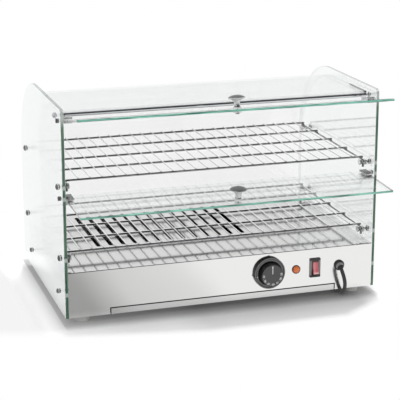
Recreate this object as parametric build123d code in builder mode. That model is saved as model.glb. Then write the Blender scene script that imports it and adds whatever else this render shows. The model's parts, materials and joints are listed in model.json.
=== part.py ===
from build123d import *
import math
import os

os.makedirs("parts", exist_ok=True)

# Glass case, measured over the side panes
case_width = 590.0
case_depth = 380.0
pane_height = 376.0
pane_thickness = 6.0
pane_rear_radius = 150.0
pane_front_radius = 8.0
pane_arris = 0.6
foot_height = 13.0

# Bent sheet that closes the rear and the top, and its front rod
sheet_thickness = 4.0
sheet_inset = 11.0
sheet_radius = 170.0
sheet_front_setback = 43.0
sheet_lap = 26.0
tie_rod_diameter = 8.0
tie_rod_setback = 48.0

# Heated base
base_height = 84.0
sheet_metal = 1.2
panel_setback = 0.4
base_side_gap = 0.3
flange_width = 12.0
shield_setback = 92.0

# Slots of the warm deck
slot_count = 13
slot_pitch = 23.5
slot_width = 8.0
slot_length = 194.0
slots_center_x = -60.0
slots_front_setback = 134.0

# Crumb tray in the front panel's bottom edge
tray_center_x = 1.0
tray_front_width = 429.0
tray_front_height = 11.6
tray_depth = 330.0
tray_metal = 1.0
tray_wall_height = 8.5
tray_gap = 1.2

# Flaps: hinge axes, and glass measured from the axis to the free edge
pivot_setback = 26.0
upper_pivot_height = 352.0
lower_pivot_height = 213.5
upper_flap_drop = 113.0
lower_flap_drop = 119.0
upper_flap_angle = 101.3
lower_flap_angle = 87.8
flap_tail = 6.0
flap_glass = 5.0
flap_side_gap = 1.5
clamp_length = 30.0
clamp_width = 14.0
clamp_plate = 2.0
clamp_web = 2.0
pad_thickness = 0.5
pin_diameter = 5.0
pin_clearance = 0.06
bush_wall = 1.2
flap_knob_inset = 22.0
flap_knob_diameter = 30.0
flap_knob_height = 22.0
washer_thickness = 2.0

# Wire shelves on studs
stud_front_setback = 38.0
stud_rear_setback = 44.0
upper_stud_height = 231.6
lower_stud_height = 101.0
stud_length = 14.0
stud_neck_diameter = 8.0
stud_flange_diameter = 11.5
stud_base_flange = 3.0
stud_end_flange = 2.0
rail_diameter = 4.6
row_diameter = 4.5
thin_diameter = 2.0
row_count = 5
bay_count = 26
rail_inset = 8.5
hook_clearance = 0.1
hook_drop = 8.0
weld = 0.4

# Fasteners through the panes
stud_screw_diameter = 4.0
stud_head_diameter = 11.0
rod_head_diameter = 10.5
base_head_diameter = 9.0
head_height = 3.0
screw_tail = 5.0
grommet_thickness = 0.8
base_screw_height = 33.5
base_screw_front_setback = 57.0
base_screw_rear_setback = 72.0

# Feet
foot_diameter = 26.0
foot_x_inset = 35.0
foot_front_inset = 26.0
foot_rear_inset = 45.0
foot_recess_diameter = 10.0
foot_recess_depth = 7.0

# Controls on the front panel, with heights above the panel's bottom edge
control_height = 47.1
dial_to_lamp = 53.7
dial_diameter = 59.5
dial_thickness = 7.0
knob_diameter = 43.0
knob_height = 14.0
knob_gap = 0.4
shaft_diameter = 6.0
shaft_clearance = 0.06
thermostat_diameter = 40.0
thermostat_depth = 30.0
bush_diameter = 10.0
bush_length = 12.0
lamp_to_switch = 37.1
lamp_diameter = 16.4
lamp_dome = 5.0
lamp_body_diameter = 12.0
lamp_body_depth = 24.0
switch_to_gland = 48.4
switch_width = 21.0
switch_height = 37.0
switch_flange = 2.0
switch_wall = 2.4
switch_depth = 24.0
switch_lip = 1.5
rocker_gap = 0.35
rocker_tilt = 8.0
rocker_travel = 16.0
rocker_pivot_depth = 6.0
rocker_reach = 3.4
trunnion_diameter = 3.0
trunnion_clearance = 0.05
gland_side_inset = 71.0
gland_diameter = 20.0
gland_flange = 3.0
gland_nose = 6.0
gland_nose_diameter = 12.0
gland_droop = 33.0
gland_drop = 3.0
gland_barrel_diameter = 15.6
gland_barrel_length = 14.0
gland_nut_thickness = 5.0

# Heater and wiring inside the base
element_diameter = 8.0
element_drop = 24.0
element_bend = 32.0
element_pitch = 80.0
element_passes = 4
element_right_x = 60.0
element_rear_setback = 60.0
element_terminal = 16.0
element_front_gap = 36.0
support_bar = 14.0
support_inset = 38.0
support_lug = 10.0
bulb_diameter = 6.0
bulb_length = 90.0
capillary_diameter = 1.6
capillary_turn = 14.0
capillary_reach = 60.0
lead_diameter = 3.0
block_width = 44.0
block_height = 18.0
block_depth = 20.0

# Supply cord
cord_diameter = 7.0
floor_gap = 0.4
coil_entry_radius = 46.0
coil_pitch = 7.8
coil_layer = 7.7
coil_turns = 2.0
coil_side_inset = 145.0
coil_rear_gap = 60.0
plug_face_diameter = 38.0
plug_body_length = 34.0
plug_relief_length = 24.0
plug_pin_diameter = 4.8
plug_pin_spacing = 19.0
plug_pin_length = 19.0
plug_rise_length = 46.0


# Frame: +X right, +Y back, +Z up, origin under the middle of the case with its flaps open
half_width = case_width / 2
inner_half = half_width - pane_thickness
lower_reach = lower_flap_drop * math.sin(math.radians(lower_flap_angle))
door_reach = lower_reach + flap_glass / 2 * math.cos(math.radians(lower_flap_angle)) - pivot_setback
front_y = (door_reach - case_depth) / 2
back_y = front_y + case_depth
top_z = foot_height + pane_height
deck_z = foot_height + base_height
control_z = foot_height + control_height
gland_x = half_width - gland_side_inset
switch_x = gland_x - switch_to_gland
lamp_x = switch_x - lamp_to_switch
dial_x = lamp_x - dial_to_lamp
panel_y = front_y + panel_setback
sheet_outer_y = back_y - sheet_inset
sheet_inner_y = sheet_outer_y - sheet_thickness
sheet_top_z = top_z - sheet_inset
rod_y = front_y + tie_rod_setback
rod_z = sheet_top_z - sheet_thickness - tie_rod_diameter / 2
pivot_y = front_y + pivot_setback
stud_front_y = front_y + stud_front_setback
stud_rear_y = back_y - stud_rear_setback
base_half = inner_half - base_side_gap
pin_radius = pin_diameter / 2
bush_radius = pin_radius + pin_clearance + bush_wall
base_screw_z = foot_height + base_screw_height
base_screw_spots = [
    (front_y + base_screw_front_setback, base_screw_z),
    (back_y - base_screw_rear_setback, base_screw_z),
]
stud_spots = [
    (y, foot_height + height)
    for y in (stud_front_y, stud_rear_y)
    for height in (lower_stud_height, upper_stud_height)
]
pivot_spots = [(pivot_y, foot_height + height) for height in (lower_pivot_height, upper_pivot_height)]
rod_spots = [(rod_y, rod_z)]


def finish(piece, name):
    """Label a finished piece and write it under its own name."""
    piece.part.label = name
    export_step(piece.part, f"parts/{name}.step")


def side_plane(side, distance):
    """A plane across X that looks outward on the given side, at a distance from the middle."""
    return Plane(origin=(side * distance, 0, 0), x_dir=(0, 1, 0), z_dir=(side, 0, 0))


def on_side(side, spots):
    """Turn (y, z) spots into the local points of side_plane."""
    return [(y, side * z) for y, z in spots]


def panel_plane(depth=0.0):
    """The front panel's plane, looking forward, moved back into the base by a depth."""
    return Plane(origin=(0, panel_y + depth, 0), x_dir=(1, 0, 0), z_dir=(0, -1, 0))


# Side panes

def make_pane(side, name):
    screw_hole = stud_screw_diameter / 2 + 0.5
    with BuildPart() as pane:
        with BuildSketch(side_plane(side, inner_half)):
            with BuildLine():
                Polyline(
                    (front_y, side * foot_height),
                    (front_y, side * top_z),
                    (back_y, side * top_z),
                    (back_y, side * foot_height),
                    close=True,
                )
            outline = make_face()
            upper = outline.vertices().sort_by(Axis.Z)[-2:].sort_by(Axis.Y)
            fillet(upper[1], pane_rear_radius)
            fillet(upper[0], pane_front_radius)
        extrude(amount=pane_thickness)
        chamfer(pane.edges().filter_by(Plane.YZ), pane_arris)
        with BuildSketch(side_plane(side, inner_half)):
            with Locations(*on_side(side, stud_spots + rod_spots + base_screw_spots)):
                Circle(screw_hole)
            with Locations(*on_side(side, pivot_spots)):
                Circle(bush_radius)
        extrude(amount=pane_thickness, mode=Mode.SUBTRACT)
    finish(pane, name)


make_pane(-1, "left_side_pane")
make_pane(1, "right_side_pane")


# Bent rear and top sheet, lapped behind the base

sheet_front_y = front_y + sheet_front_setback
sheet_bottom_z = deck_z - sheet_lap
sheet_half = inner_half - 0.5
sheet_screw_z = sheet_bottom_z + sheet_lap / 2
sheet_screw_xs = [-0.8 * sheet_half, 0.0, 0.8 * sheet_half]

sheet_mid_y = sheet_outer_y - sheet_thickness / 2
sheet_mid_z = sheet_top_z - sheet_thickness / 2
with BuildPart() as rear_top_sheet:
    with BuildSketch(Plane.YZ):
        with BuildLine():
            FilletPolyline(
                (sheet_front_y, sheet_mid_z),
                (sheet_mid_y, sheet_mid_z),
                (sheet_mid_y, sheet_bottom_z),
                radius=sheet_radius - sheet_thickness / 2,
            )
        trace(line_width=sheet_thickness)
    extrude(amount=sheet_half, both=True)
    with BuildSketch(Plane.XZ.offset(-sheet_inner_y)):
        with Locations(*[(x, sheet_screw_z) for x in sheet_screw_xs]):
            Circle(2.5)
    extrude(amount=-sheet_thickness, mode=Mode.SUBTRACT)
finish(rear_top_sheet, "rear_top_sheet")


# Chrome rod under the sheet's front edge

rod_tap_depth = 18.0
rod_screw_radius = 2.0
with BuildPart() as tie_rod:
    with BuildSketch(Plane.YZ):
        with Locations((rod_y, rod_z)):
            Circle(tie_rod_diameter / 2)
            Circle(rod_screw_radius, mode=Mode.SUBTRACT)
    extrude(amount=inner_half, both=True)
    with BuildSketch(Plane.YZ):
        with Locations((rod_y, rod_z)):
            Circle(tie_rod_diameter / 2)
    extrude(amount=inner_half - rod_tap_depth, both=True)
finish(tie_rod, "tie_rod")


# Screws, grommets and bushes through both panes

def side_screws(name, spots, head_diameter, shank_radius, shank_length):
    """Pan-head screws with their heads outside both panes and shanks that point inward."""
    head_start = half_width + grommet_thickness
    with BuildPart() as screws:
        for side in (-1, 1):
            with BuildSketch(side_plane(side, head_start)):
                with Locations(*on_side(side, spots)):
                    Circle(head_diameter / 2)
            heads = extrude(amount=head_height)
            rims = heads.edges().filter_by(GeomType.CIRCLE).group_by(Axis.X)
            chamfer(rims[0] if side < 0 else rims[-1], head_height * 0.4)
            with BuildSketch(side_plane(side, head_start)):
                with Locations(*on_side(side, spots)):
                    Circle(shank_radius)
            extrude(amount=-shank_length)
    finish(screws, name)


stud_screw_radius = stud_screw_diameter / 2
screw_engagement = 8.0
through_pane = grommet_thickness + pane_thickness
side_screws("shelf_stud_screws", stud_spots, stud_head_diameter, stud_screw_radius, through_pane + screw_engagement)
side_screws("tie_rod_screws", rod_spots, rod_head_diameter, rod_screw_radius, through_pane + rod_tap_depth - 1)
side_screws(
    "base_side_screws",
    base_screw_spots,
    base_head_diameter,
    stud_screw_radius,
    through_pane + base_side_gap + sheet_metal + screw_engagement,
)

with BuildPart() as pane_grommets:
    for side in (-1, 1):
        with BuildSketch(side_plane(side, half_width)):
            for spots, outer in (
                (stud_spots, stud_head_diameter),
                (rod_spots, rod_head_diameter),
                (base_screw_spots, base_head_diameter),
            ):
                with Locations(*on_side(side, spots)):
                    Circle(outer / 2)
                    Circle(stud_screw_radius, mode=Mode.SUBTRACT)
        extrude(amount=grommet_thickness)
finish(pane_grommets, "pane_grommets")

with BuildPart() as pivot_bushes:
    for side in (-1, 1):
        with BuildSketch(side_plane(side, inner_half)):
            with Locations(*on_side(side, pivot_spots)):
                Circle(bush_radius)
                Circle(pin_radius + pin_clearance, mode=Mode.SUBTRACT)
        extrude(amount=pane_thickness)
finish(pivot_bushes, "pivot_bushes")

with BuildPart() as base_nuts:
    for side in (-1, 1):
        with BuildSketch(side_plane(side, base_half - sheet_metal)):
            with Locations(*on_side(side, base_screw_spots)):
                RegularPolygon(4.0, 6)
                Circle(stud_screw_radius, mode=Mode.SUBTRACT)
        extrude(amount=-3.2)
finish(base_nuts, "base_nuts")


# Studs that carry the shelves: base flange, neck for the rail's hook, end flange

with BuildPart() as shelf_studs:
    for side in (-1, 1):
        with BuildSketch(side_plane(side, inner_half)):
            with Locations(*on_side(side, stud_spots)):
                Circle(stud_neck_diameter / 2)
        extrude(amount=-stud_length)
        for start, flange in ((0.0, stud_base_flange), (stud_length - stud_end_flange, stud_end_flange)):
            with BuildSketch(side_plane(side, inner_half - start)):
                with Locations(*on_side(side, stud_spots)):
                    Circle(stud_flange_diameter / 2)
            extrude(amount=-flange)
        with BuildSketch(side_plane(side, inner_half)):
            with Locations(*on_side(side, stud_spots)):
                Circle(stud_screw_diameter / 2)
        extrude(amount=-screw_engagement - 0.5, mode=Mode.SUBTRACT)
finish(shelf_studs, "shelf_studs")


# Wire shelf: hooked side rails, thick rows across, thin wires from front to back

rail_x = inner_half - rail_inset
rail_rise = stud_neck_diameter / 2 + hook_clearance + rail_diameter / 2
row_rise = rail_rise + (rail_diameter + row_diameter) / 2 - weld
thin_rise = row_rise + (row_diameter + thin_diameter) / 2 - weld
row_half = rail_x + rail_diameter / 2
thin_overhang = row_diameter / 2


def make_shelf(name, stud_height):
    stud_z = foot_height + stud_height
    thin_pitch = 2 * rail_x / bay_count
    row_pitch = (stud_rear_y - stud_front_y) / (row_count - 1)
    with BuildPart() as shelf:
        for x in (-rail_x, rail_x):
            with BuildLine(Plane.YZ.offset(x)) as hook_line:
                Polyline(
                    (stud_front_y - rail_rise, stud_z - hook_drop),
                    (stud_front_y - rail_rise, stud_z),
                )
                JernArc((stud_front_y - rail_rise, stud_z), (0, 1), rail_rise, -90)
                Line((stud_front_y, stud_z + rail_rise), (stud_rear_y, stud_z + rail_rise))
                JernArc((stud_rear_y, stud_z + rail_rise), (1, 0), rail_rise, -90)
                Line(
                    (stud_rear_y + rail_rise, stud_z),
                    (stud_rear_y + rail_rise, stud_z - hook_drop),
                )
            with BuildSketch(Plane(origin=hook_line.wires()[0] @ 0, z_dir=(0, 0, 1))):
                RegularPolygon(rail_diameter / 2, 8, major_radius=False, rotation=22.5)
            sweep(path=hook_line.wires()[0])
        with BuildSketch(Plane.YZ):
            with Locations(*[(stud_front_y + row_pitch * i, stud_z + row_rise) for i in range(row_count)]):
                RegularPolygon(row_diameter / 2, 8, major_radius=False, rotation=22.5)
        extrude(amount=row_half, both=True)
        with BuildSketch(Plane.XZ.offset(thin_overhang - stud_front_y)):
            with Locations(*[(thin_pitch * i - rail_x, stud_z + thin_rise) for i in range(1, bay_count)]):
                RegularPolygon(thin_diameter / 2, 6, major_radius=False)
        extrude(amount=-(stud_rear_y - stud_front_y + 2 * thin_overhang))
    finish(shelf, name)


make_shelf("upper_shelf", upper_stud_height)
make_shelf("lower_shelf", lower_stud_height)


# Glass flaps with their clamps, pins, pads, screws and pull knobs

clamp_outer_x = inner_half - flap_side_gap
flap_half_width = clamp_outer_x - clamp_web - pad_thickness
clamp_inner_x = clamp_outer_x - clamp_width
clamp_gap = flap_glass + 2 * pad_thickness
clamp_thickness = clamp_gap + 2 * clamp_plate
pin_reach = half_width + 0.6
cap_radius = 4.2
cap_height = 2.6
knob_screw_radius = 2.0
knob_screw_head_radius = 4.0


def flap_plane(pivot_height, angle):
    """The middle plane of a flap: X across, Y up the glass, Z out of its outer face."""
    turn = math.radians(angle)
    return Plane(
        origin=(0, pivot_y, foot_height + pivot_height),
        x_dir=(1, 0, 0),
        z_dir=(0, -math.cos(turn), math.sin(turn)),
    )


def make_flap(name, plane, drop):
    knob_spot = (0, flap_knob_inset - drop)
    screw_spots = [
        (side * (clamp_inner_x + clamp_width * 0.4), flap_tail - clamp_length * share)
        for side in (-1, 1)
        for share in (0.27, 0.77)
    ]

    with BuildPart() as glass:
        with BuildSketch(plane.offset(-flap_glass / 2)):
            with Locations((0, (flap_tail - drop) / 2)):
                Rectangle(2 * flap_half_width, drop + flap_tail)
            with Locations(knob_spot):
                Circle(knob_screw_radius + 0.5, mode=Mode.SUBTRACT)
        extrude(amount=flap_glass)
    finish(glass, f"{name}_flap_glass")

    with BuildPart() as clamps:
        for side in (-1, 1):
            with BuildSketch(plane.offset(-clamp_thickness / 2)):
                with Locations((side * (clamp_inner_x + clamp_width / 2), flap_tail - clamp_length / 2)):
                    Rectangle(clamp_width, clamp_length)
            extrude(amount=clamp_thickness)
        with BuildSketch(plane.offset(-clamp_gap / 2)):
            with Locations((0, flap_tail - clamp_length / 2)):
                Rectangle(2 * (clamp_outer_x - clamp_web), clamp_length)
        extrude(amount=clamp_gap, mode=Mode.SUBTRACT)
        across = clamps.edges().filter_by(Axis(plane.origin, plane.z_dir))
        chamfer(across.filter_by(lambda edge: abs(edge.length - clamp_thickness) < 0.01), 1.5)
        with BuildSketch(plane.offset(-clamp_gap / 2)):
            with Locations(*screw_spots):
                Circle(1.5)
        extrude(amount=-clamp_plate, mode=Mode.SUBTRACT)
        for side in (-1, 1):
            pin_start = Plane(
                origin=(side * (clamp_outer_x - clamp_web / 2), pivot_y, plane.origin.Z),
                x_dir=(0, 1, 0),
                z_dir=(side, 0, 0),
            )
            with BuildSketch(pin_start):
                Circle(pin_radius)
            extrude(amount=pin_reach - clamp_outer_x + clamp_web / 2)
    finish(clamps, f"{name}_flap_clamps")

    with BuildPart() as pads:
        for offset in (flap_glass / 2, -flap_glass / 2 - pad_thickness):
            with BuildSketch(plane.offset(offset)):
                for side in (-1, 1):
                    with Locations((side * (clamp_inner_x + flap_half_width) / 2, flap_tail - clamp_length / 2)):
                        Rectangle(flap_half_width - clamp_inner_x, clamp_length)
            extrude(amount=pad_thickness)
    finish(pads, f"{name}_clamp_pads")

    with BuildPart() as grub_screws:
        with BuildSketch(plane.offset(-clamp_gap / 2)):
            with Locations(*screw_spots):
                Circle(1.5)
        extrude(amount=-clamp_plate)
    finish(grub_screws, f"{name}_clamp_screws")

    with BuildPart() as caps:
        for side in (-1, 1):
            cap_plane = Plane(
                origin=(side * pin_reach, pivot_y, plane.origin.Z), x_dir=(0, 1, 0), z_dir=(side, 0, 0)
            )
            with BuildSketch(cap_plane):
                Circle(cap_radius)
            cap = extrude(amount=cap_height)
            rims = cap.edges().filter_by(GeomType.CIRCLE).group_by(Axis.X)
            chamfer(rims[0] if side < 0 else rims[-1], cap_height * 0.4)
    finish(caps, f"{name}_pin_caps")

    knob_plane = Plane(
        origin=plane.from_local_coords((0, knob_spot[1], 0)), x_dir=plane.x_dir, z_dir=plane.z_dir
    )
    knob_base = flap_glass / 2 + washer_thickness
    stem_radius = 5.6
    cone_radius = 8.0
    cap_rim = 2.2
    rim_low = knob_base + flap_knob_height * 0.7
    rim_high = rim_low + cap_rim
    top = knob_base + flap_knob_height
    dome = top - rim_high
    cap_radius_at = flap_knob_diameter / 2
    axis_plane = Plane(origin=knob_plane.origin, x_dir=knob_plane.x_dir, z_dir=-knob_plane.y_dir)
    with BuildPart() as knob:
        with BuildSketch(axis_plane):
            with BuildLine():
                Polyline(
                    (0, top),
                    (0, knob_base + 8),
                    (knob_screw_radius, knob_base + 8),
                    (knob_screw_radius, knob_base),
                    (stem_radius, knob_base),
                    (stem_radius, knob_base + flap_knob_height * 0.45),
                    (cone_radius, knob_base + flap_knob_height * 0.62),
                )
                Polyline(
                    (cone_radius, knob_base + flap_knob_height * 0.62),
                    (cap_radius_at * 0.84, rim_low - cap_rim * 0.35),
                    (cap_radius_at, rim_low),
                    (cap_radius_at, rim_high),
                    (cap_radius_at * 0.88, rim_high + dome * 0.45),
                    (cap_radius_at * 0.6, top - dome * 0.18),
                    (cap_radius_at * 0.25, top),
                    (0, top),
                )
            make_face()
        revolve(axis=Axis(knob_plane.origin, knob_plane.z_dir))
    finish(knob, f"{name}_flap_knob")

    with BuildPart() as knob_screw:
        with BuildSketch(knob_plane.offset(-flap_glass / 2 - washer_thickness)):
            Circle(knob_screw_radius)
        extrude(amount=flap_glass + 2 * washer_thickness + 7.5)
        with BuildSketch(knob_plane.offset(-flap_glass / 2 - washer_thickness)):
            Circle(knob_screw_head_radius)
        extrude(amount=-2.4)
    finish(knob_screw, f"{name}_knob_screw")

    with BuildPart() as washers:
        for offset in (flap_glass / 2, -flap_glass / 2 - washer_thickness):
            with BuildSketch(knob_plane.offset(offset)):
                Circle(knob_screw_head_radius * 1.9)
                Circle(knob_screw_radius, mode=Mode.SUBTRACT)
            extrude(amount=washer_thickness)
    finish(washers, f"{name}_knob_washers")


make_flap("upper", flap_plane(upper_pivot_height, upper_flap_angle), upper_flap_drop)
make_flap("lower", flap_plane(lower_pivot_height, lower_flap_angle), lower_flap_drop)


# Base: folded pan with the front panel, open on top, with an inward flange for the deck

pan_top_z = deck_z - sheet_metal
pan_depth = sheet_inner_y - panel_y
pan_center_y = panel_y + pan_depth / 2
notch_half = tray_front_width / 2 + tray_gap
notch_height = tray_front_height + tray_gap
foot_spots = [
    (side * (half_width - foot_x_inset), y)
    for side in (-1, 1)
    for y in (front_y + foot_front_inset, back_y - foot_rear_inset)
]
foot_screw_radius = 2.0
lamp_hole_radius = lamp_body_diameter / 2 + 0.2
gland_hole_radius = gland_barrel_diameter / 2 + 0.2
switch_body_width = switch_width - 2.4
switch_body_height = switch_height - 4.0

with BuildPart() as base_pan:
    with BuildSketch(Plane.XY.offset(foot_height)):
        with Locations((0, pan_center_y)):
            Rectangle(2 * base_half, pan_depth)
    extrude(amount=pan_top_z - foot_height)
    offset(amount=-sheet_metal, openings=base_pan.faces().sort_by(Axis.Z)[-1])
    with BuildSketch(Plane.XY.offset(pan_top_z - sheet_metal)):
        with Locations((0, pan_center_y)):
            Rectangle(2 * base_half, pan_depth)
            Rectangle(2 * (base_half - flange_width), pan_depth - 2 * flange_width, mode=Mode.SUBTRACT)
    extrude(amount=sheet_metal)
    with BuildSketch(panel_plane()):
        with Locations((dial_x, control_z)):
            Circle(bush_diameter / 2 + 0.2)
        with Locations((lamp_x, control_z)):
            Circle(lamp_hole_radius)
        with Locations((switch_x, control_z)):
            Rectangle(switch_body_width + 0.4, switch_body_height + 0.4)
        with Locations((gland_x, control_z)):
            Circle(gland_hole_radius)
    extrude(amount=-sheet_metal, mode=Mode.SUBTRACT)
    with BuildSketch(Plane.XY.offset(foot_height)):
        with Locations((tray_center_x, panel_y + (sheet_metal + tray_gap) / 2)):
            Rectangle(2 * notch_half, sheet_metal + tray_gap)
    extrude(amount=notch_height, mode=Mode.SUBTRACT)
    with BuildSketch(Plane.XY.offset(foot_height)):
        with Locations(*foot_spots):
            Circle(foot_screw_radius)
    extrude(amount=sheet_metal, mode=Mode.SUBTRACT)
    for side in (-1, 1):
        with BuildSketch(side_plane(side, base_half)):
            with Locations(*on_side(side, base_screw_spots)):
                Circle(stud_screw_radius)
        extrude(amount=-sheet_metal, mode=Mode.SUBTRACT)
    with BuildSketch(Plane.XZ.offset(-sheet_inner_y)):
        with Locations(*[(x, sheet_screw_z) for x in sheet_screw_xs]):
            Circle(2.0)
    extrude(amount=sheet_metal, mode=Mode.SUBTRACT)
finish(base_pan, "base_pan")


# Warm deck: polished plate with a row of slots from front to back

slots_center_y = front_y + slots_front_setback + slot_length / 2
slots_left_x = slots_center_x - slot_pitch * (slot_count - 1) / 2
with BuildPart() as deck_plate:
    with BuildSketch(Plane.XY.offset(pan_top_z)):
        with Locations((0, pan_center_y)):
            Rectangle(2 * base_half, pan_depth)
        with Locations(*[(slots_left_x + slot_pitch * i, slots_center_y) for i in range(slot_count)]):
            SlotOverall(slot_length, slot_width, rotation=90, mode=Mode.SUBTRACT)
    extrude(amount=sheet_metal)
finish(deck_plate, "deck_plate")


# Screws that hold the bent sheet to the back of the base

with BuildPart() as sheet_screws:
    with BuildSketch(Plane.XZ.offset(-sheet_outer_y)):
        with Locations(*[(x, sheet_screw_z) for x in sheet_screw_xs]):
            Circle(4.5)
    extrude(amount=-2.4)
    with BuildSketch(Plane.XZ.offset(-sheet_outer_y)):
        with Locations(*[(x, sheet_screw_z) for x in sheet_screw_xs]):
            Circle(2.0)
    extrude(amount=sheet_thickness + sheet_metal + screw_tail)
finish(sheet_screws, "sheet_screws")


# Feet and their screws

with BuildPart() as feet:
    with BuildSketch():
        with Locations(*foot_spots):
            Circle(foot_diameter / 2)
    extrude(amount=foot_height, taper=-2)
    with BuildSketch():
        with Locations(*foot_spots):
            Circle(foot_recess_diameter / 2)
    extrude(amount=foot_recess_depth, mode=Mode.SUBTRACT)
    with BuildSketch():
        with Locations(*foot_spots):
            Circle(foot_screw_radius)
    extrude(amount=foot_height, mode=Mode.SUBTRACT)
finish(feet, "feet")

with BuildPart() as foot_screws:
    with BuildSketch(Plane.XY.offset(foot_recess_depth)):
        with Locations(*foot_spots):
            Circle(3.8)
    extrude(amount=-2.6)
    with BuildSketch(Plane.XY.offset(foot_recess_depth)):
        with Locations(*foot_spots):
            Circle(foot_screw_radius)
    extrude(amount=foot_height - foot_recess_depth + sheet_metal + screw_tail)
finish(foot_screws, "foot_screws")


# Crumb tray: shallow folded pan behind a flush front strip

tray_bottom_z = foot_height + sheet_metal + 0.3
tray_half = tray_front_width / 2 - 3.0
tray_start_y = panel_y + sheet_metal
with BuildPart() as crumb_tray:
    with BuildSketch(Plane.XY.offset(tray_bottom_z)):
        with Locations((tray_center_x, tray_start_y + tray_depth / 2)):
            Rectangle(2 * tray_half, tray_depth)
    extrude(amount=tray_wall_height)
    offset(amount=-tray_metal, openings=crumb_tray.faces().sort_by(Axis.Z)[-1])
    with BuildSketch(panel_plane(sheet_metal)):
        with Locations((tray_center_x, foot_height + tray_front_height / 2)):
            Rectangle(tray_front_width, tray_front_height)
    extrude(amount=sheet_metal)
finish(crumb_tray, "crumb_tray")

guide_height = 10.0
guide_foot = 9.0
guide_start_y = panel_y + sheet_metal + 3
guide_length = pan_depth - 2 * sheet_metal - 6
with BuildPart() as tray_guides:
    for side in (-1, 1):
        with BuildSketch(Plane.XY.offset(foot_height + sheet_metal)):
            with Locations((tray_center_x + side * (tray_half + tray_gap + tray_metal / 2), guide_start_y + guide_length / 2)):
                Rectangle(tray_metal, guide_length)
        extrude(amount=guide_height)
        with BuildSketch(Plane.XY.offset(foot_height + sheet_metal)):
            with Locations((tray_center_x + side * (tray_half + tray_gap + guide_foot / 2), guide_start_y + guide_length / 2)):
                Rectangle(guide_foot, guide_length)
        extrude(amount=tray_metal)
finish(tray_guides, "tray_guides")


# Thermostat: dial ring on the panel, knob on a shaft, body and bulb behind

dial_rim = 3.0
dial_recess = 1.2
with BuildPart() as thermostat_dial:
    with BuildSketch(panel_plane()):
        with Locations((dial_x, control_z)):
            Circle(dial_diameter / 2)
    extrude(amount=dial_thickness)
    chamfer(thermostat_dial.faces().sort_by(Axis.Y)[0].edges(), 0.8)
    with BuildSketch(panel_plane(-dial_thickness)):
        with Locations((dial_x, control_z)):
            Circle(dial_diameter / 2 - dial_rim)
    extrude(amount=-dial_recess, mode=Mode.SUBTRACT)
    with BuildSketch(panel_plane()):
        with Locations((dial_x, control_z)):
            Circle(bush_diameter / 2 + 0.2)
    extrude(amount=dial_thickness, mode=Mode.SUBTRACT)
finish(thermostat_dial, "thermostat_dial")

knob_back = -(dial_thickness + knob_gap)
knob_front = knob_back - knob_height
knob_bore_depth = 12.0
knob_edge = 1.4
knob_taper = 0.8
knob_side = Plane(origin=(dial_x, panel_y + knob_back, control_z), x_dir=(1, 0, 0), z_dir=(0, 0, 1))
with BuildPart() as thermostat_knob:
    with BuildSketch(knob_side):
        with BuildLine():
            Polyline(
                (0, 0),
                (knob_diameter / 2, 0),
                (knob_diameter / 2 - knob_taper, knob_edge - knob_height),
                (knob_diameter / 2 - knob_taper - knob_edge, -knob_height),
                (0, -knob_height),
                close=True,
            )
        make_face()
    revolve(axis=Axis((dial_x, panel_y, control_z), (0, 1, 0)))
    with BuildSketch(panel_plane(knob_front)):
        with Locations((dial_x, control_z + knob_diameter * 0.22)):
            Rectangle(1.4, knob_diameter * 0.34)
    extrude(amount=-0.5, mode=Mode.SUBTRACT)
    with BuildSketch(panel_plane(knob_back)):
        with Locations((dial_x, control_z)):
            Circle(shaft_diameter / 2)
            with Locations((0, shaft_diameter * 0.4)):
                Rectangle(shaft_diameter, shaft_diameter * 0.2, mode=Mode.SUBTRACT)
    extrude(amount=knob_bore_depth, mode=Mode.SUBTRACT)
finish(thermostat_knob, "thermostat_knob")

shaft_depth = sheet_metal + thermostat_depth * 0.6
with BuildPart() as thermostat_shaft:
    with BuildSketch(panel_plane(shaft_depth)):
        with Locations((dial_x, control_z)):
            Circle(shaft_diameter / 2)
    extrude(amount=shaft_depth - knob_back)
    with BuildSketch(panel_plane(knob_back)):
        with Locations((dial_x, control_z)):
            Circle(shaft_diameter / 2)
            with Locations((0, shaft_diameter * 0.4)):
                Rectangle(shaft_diameter, shaft_diameter * 0.2, mode=Mode.SUBTRACT)
    extrude(amount=knob_bore_depth - 0.5)
finish(thermostat_shaft, "thermostat_shaft")

with BuildPart() as thermostat_body:
    with BuildSketch(panel_plane(sheet_metal)):
        with Locations((dial_x, control_z)):
            Circle(thermostat_diameter / 2)
    extrude(amount=-thermostat_depth)
    with BuildSketch(panel_plane(sheet_metal)):
        with Locations((dial_x, control_z)):
            Circle(bush_diameter / 2)
    extrude(amount=bush_length - sheet_metal - dial_thickness)
    with BuildSketch(panel_plane(sheet_metal + thermostat_depth)):
        with Locations((dial_x - thermostat_diameter / 4, control_z), (dial_x + thermostat_diameter / 4, control_z)):
            Rectangle(1.0, 6.0)
    extrude(amount=-7)
    with BuildSketch(panel_plane(shaft_depth + 0.5)):
        with Locations((dial_x, control_z)):
            Circle(shaft_diameter / 2 + shaft_clearance)
    extrude(amount=shaft_depth + 0.5 + dial_thickness, mode=Mode.SUBTRACT)
finish(thermostat_body, "thermostat_body")


# Pilot lamp: domed lens in front, round body behind

with BuildPart() as pilot_lens:
    with BuildSketch(panel_plane()):
        with Locations((lamp_x, control_z)):
            Circle(lamp_diameter / 2)
    extrude(amount=lamp_dome)
    chamfer(pilot_lens.faces().sort_by(Axis.Y)[0].edges(), lamp_dome * 0.6, lamp_dome * 0.45)
finish(pilot_lens, "pilot_lamp_lens")

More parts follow.
